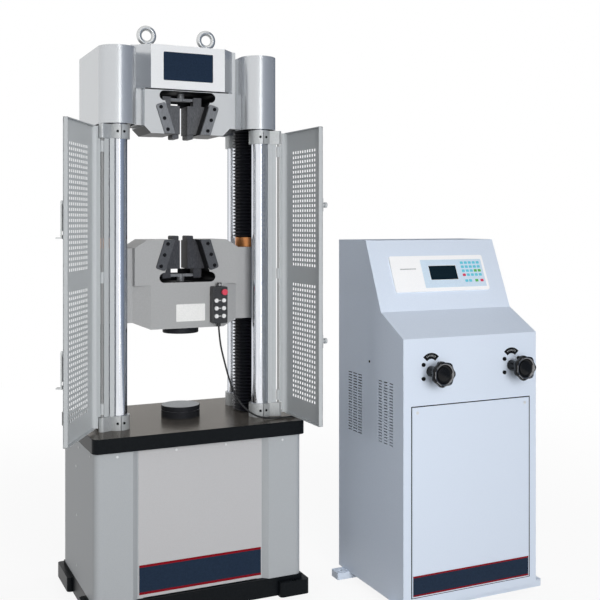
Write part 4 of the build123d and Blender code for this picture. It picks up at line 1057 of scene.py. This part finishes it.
# %% Floor
reach = 40.0
shadow_share, fade_from, fade_to = 0.12, 1.5, 5.0
floor_finish, tree, shader, place = new_finish("floor_white_paper", 0.9)
shader.inputs["Base Color"].default_value = to_linear("#F4F4F4")
distance = add(tree, "ShaderNodeVectorMath", {0: place}, operation="LENGTH").outputs["Value"]
fade_range = {"Value": distance, "From Min": fade_from, "From Max": fade_to, "To Min": 1 - shadow_share}
fade = add(tree, "ShaderNodeMapRange", fade_range, interpolation_type="SMOOTHSTEP")
glow = add(tree, "ShaderNodeEmission")
paper = {0: fade.outputs["Result"], 1: shader.outputs["BSDF"], 2: glow.outputs["Emission"]}
white_paper = add(tree, "ShaderNodeMixShader", paper)
grey = add(tree, "ShaderNodeBsdfDiffuse", {"Color": to_linear("#868686")})
seen = seen_by(tree, "Is Camera Ray", "Is Glossy Ray")
by_ray = {0: seen, 1: grey.outputs["BSDF"], 2: white_paper.outputs["Shader"]}
show(tree, add(tree, "ShaderNodeMixShader", by_ray).outputs["Shader"])
corners = [(-reach, -reach, 0), (reach, -reach, 0), (reach, reach, 0), (-reach, reach, 0)]
floor = flat_sheet("floor", corners, floor_finish)


# %% Lamps
def soft_lamp(name, place, target, width, height, watts, mirrored=True):
    """Area lamp aimed at a point, which mirrors may or may not see."""
    data = bpy.data.lights.new(name, "AREA")
    data.shape = "RECTANGLE"
    data.size = width
    data.size_y = height
    data.energy = watts
    lamp = new_object(name, data)
    lamp.location = place
    aim = np.array(target) - np.array(place)
    tilt, heading = math.acos(-aim[2] / np.linalg.norm(aim)), math.atan2(aim[0], -aim[1]) + math.pi
    lamp.rotation_euler = (tilt, 0, heading)
    lamp.visible_glossy = mirrored
    print(name, watts, "W")


soft_lamp("lamp_near_camera", (-0.4, -5.3, 1.7), (0.3, -0.2, 1.1), 2.4, 2.4, 195, mirrored=False)
soft_lamp("lamp_streak", (0.1, -5.4, 1.8), (0.1, 0.0, 1.3), 0.6, 3.0, 16)
soft_lamp("lamp_left", (-4.2, -0.8, 2.0), (0.0, 0.0, 1.1), 1.6, 1.6, 17, mirrored=False)
soft_lamp("lamp_right", (5.4, 0.6, 2.2), (0.4, 0.0, 1.1), 1.8, 1.8, 55, mirrored=False)
soft_lamp("lamp_back", (0.6, 5.4, 2.2), (0.4, 0.0, 1.1), 2.2, 2.2, 150, mirrored=False)

# %% Board for the mirrors
board_x, board_near, board_far, board_top = 2.8, -22.0, 5.0, 6.0
shade_near, shade_far = -10.0, 2.0
board_finish, tree, _, place = new_finish("board_blue_grey_felt", 0.95)
depth = add(tree, "ShaderNodeSeparateXYZ", {"Vector": place}).outputs["Y"]
shade_range = {"Value": depth, "From Min": shade_near, "From Max": shade_far}
along = add(tree, "ShaderNodeMapRange", shade_range)
shade = two_tone(tree, along.outputs["Result"], "#A6B1C2", "#566174", 0.0, 1.0)
dim = add(tree, "ShaderNodeEmission", {"Color": shade})
show(tree, dim.outputs["Emission"])
foot = [(board_x, board_near, 0), (board_x, board_far, 0)]
head = [(board_x, board_far, board_top), (board_x, board_near, board_top)]
board = flat_sheet("mirror_board", foot + head, board_finish)
board.visible_camera = False
board.visible_diffuse = False
board.visible_shadow = False
print("board from", board_near, "to", board_far, "m")

# %% White world
fill_light = 0.25
world = bpy.data.worlds.new("studio")
bpy.context.scene.world = world
world.use_nodes = True
tree = world.node_tree
clear = seen_by(tree, "Is Camera Ray", "Is Glossy Ray", "Is Transmission Ray")
strength = add(tree, "ShaderNodeMapRange", {"Value": clear, "To Min": fill_light})
sky = tree.nodes["Background"]
sky.inputs["Color"].default_value = (1, 1, 1, 1)
tree.links.new(strength.outputs["Result"], sky.inputs["Strength"])
bpy.context.scene.view_settings.view_transform = "Standard"
print("world fill", fill_light)
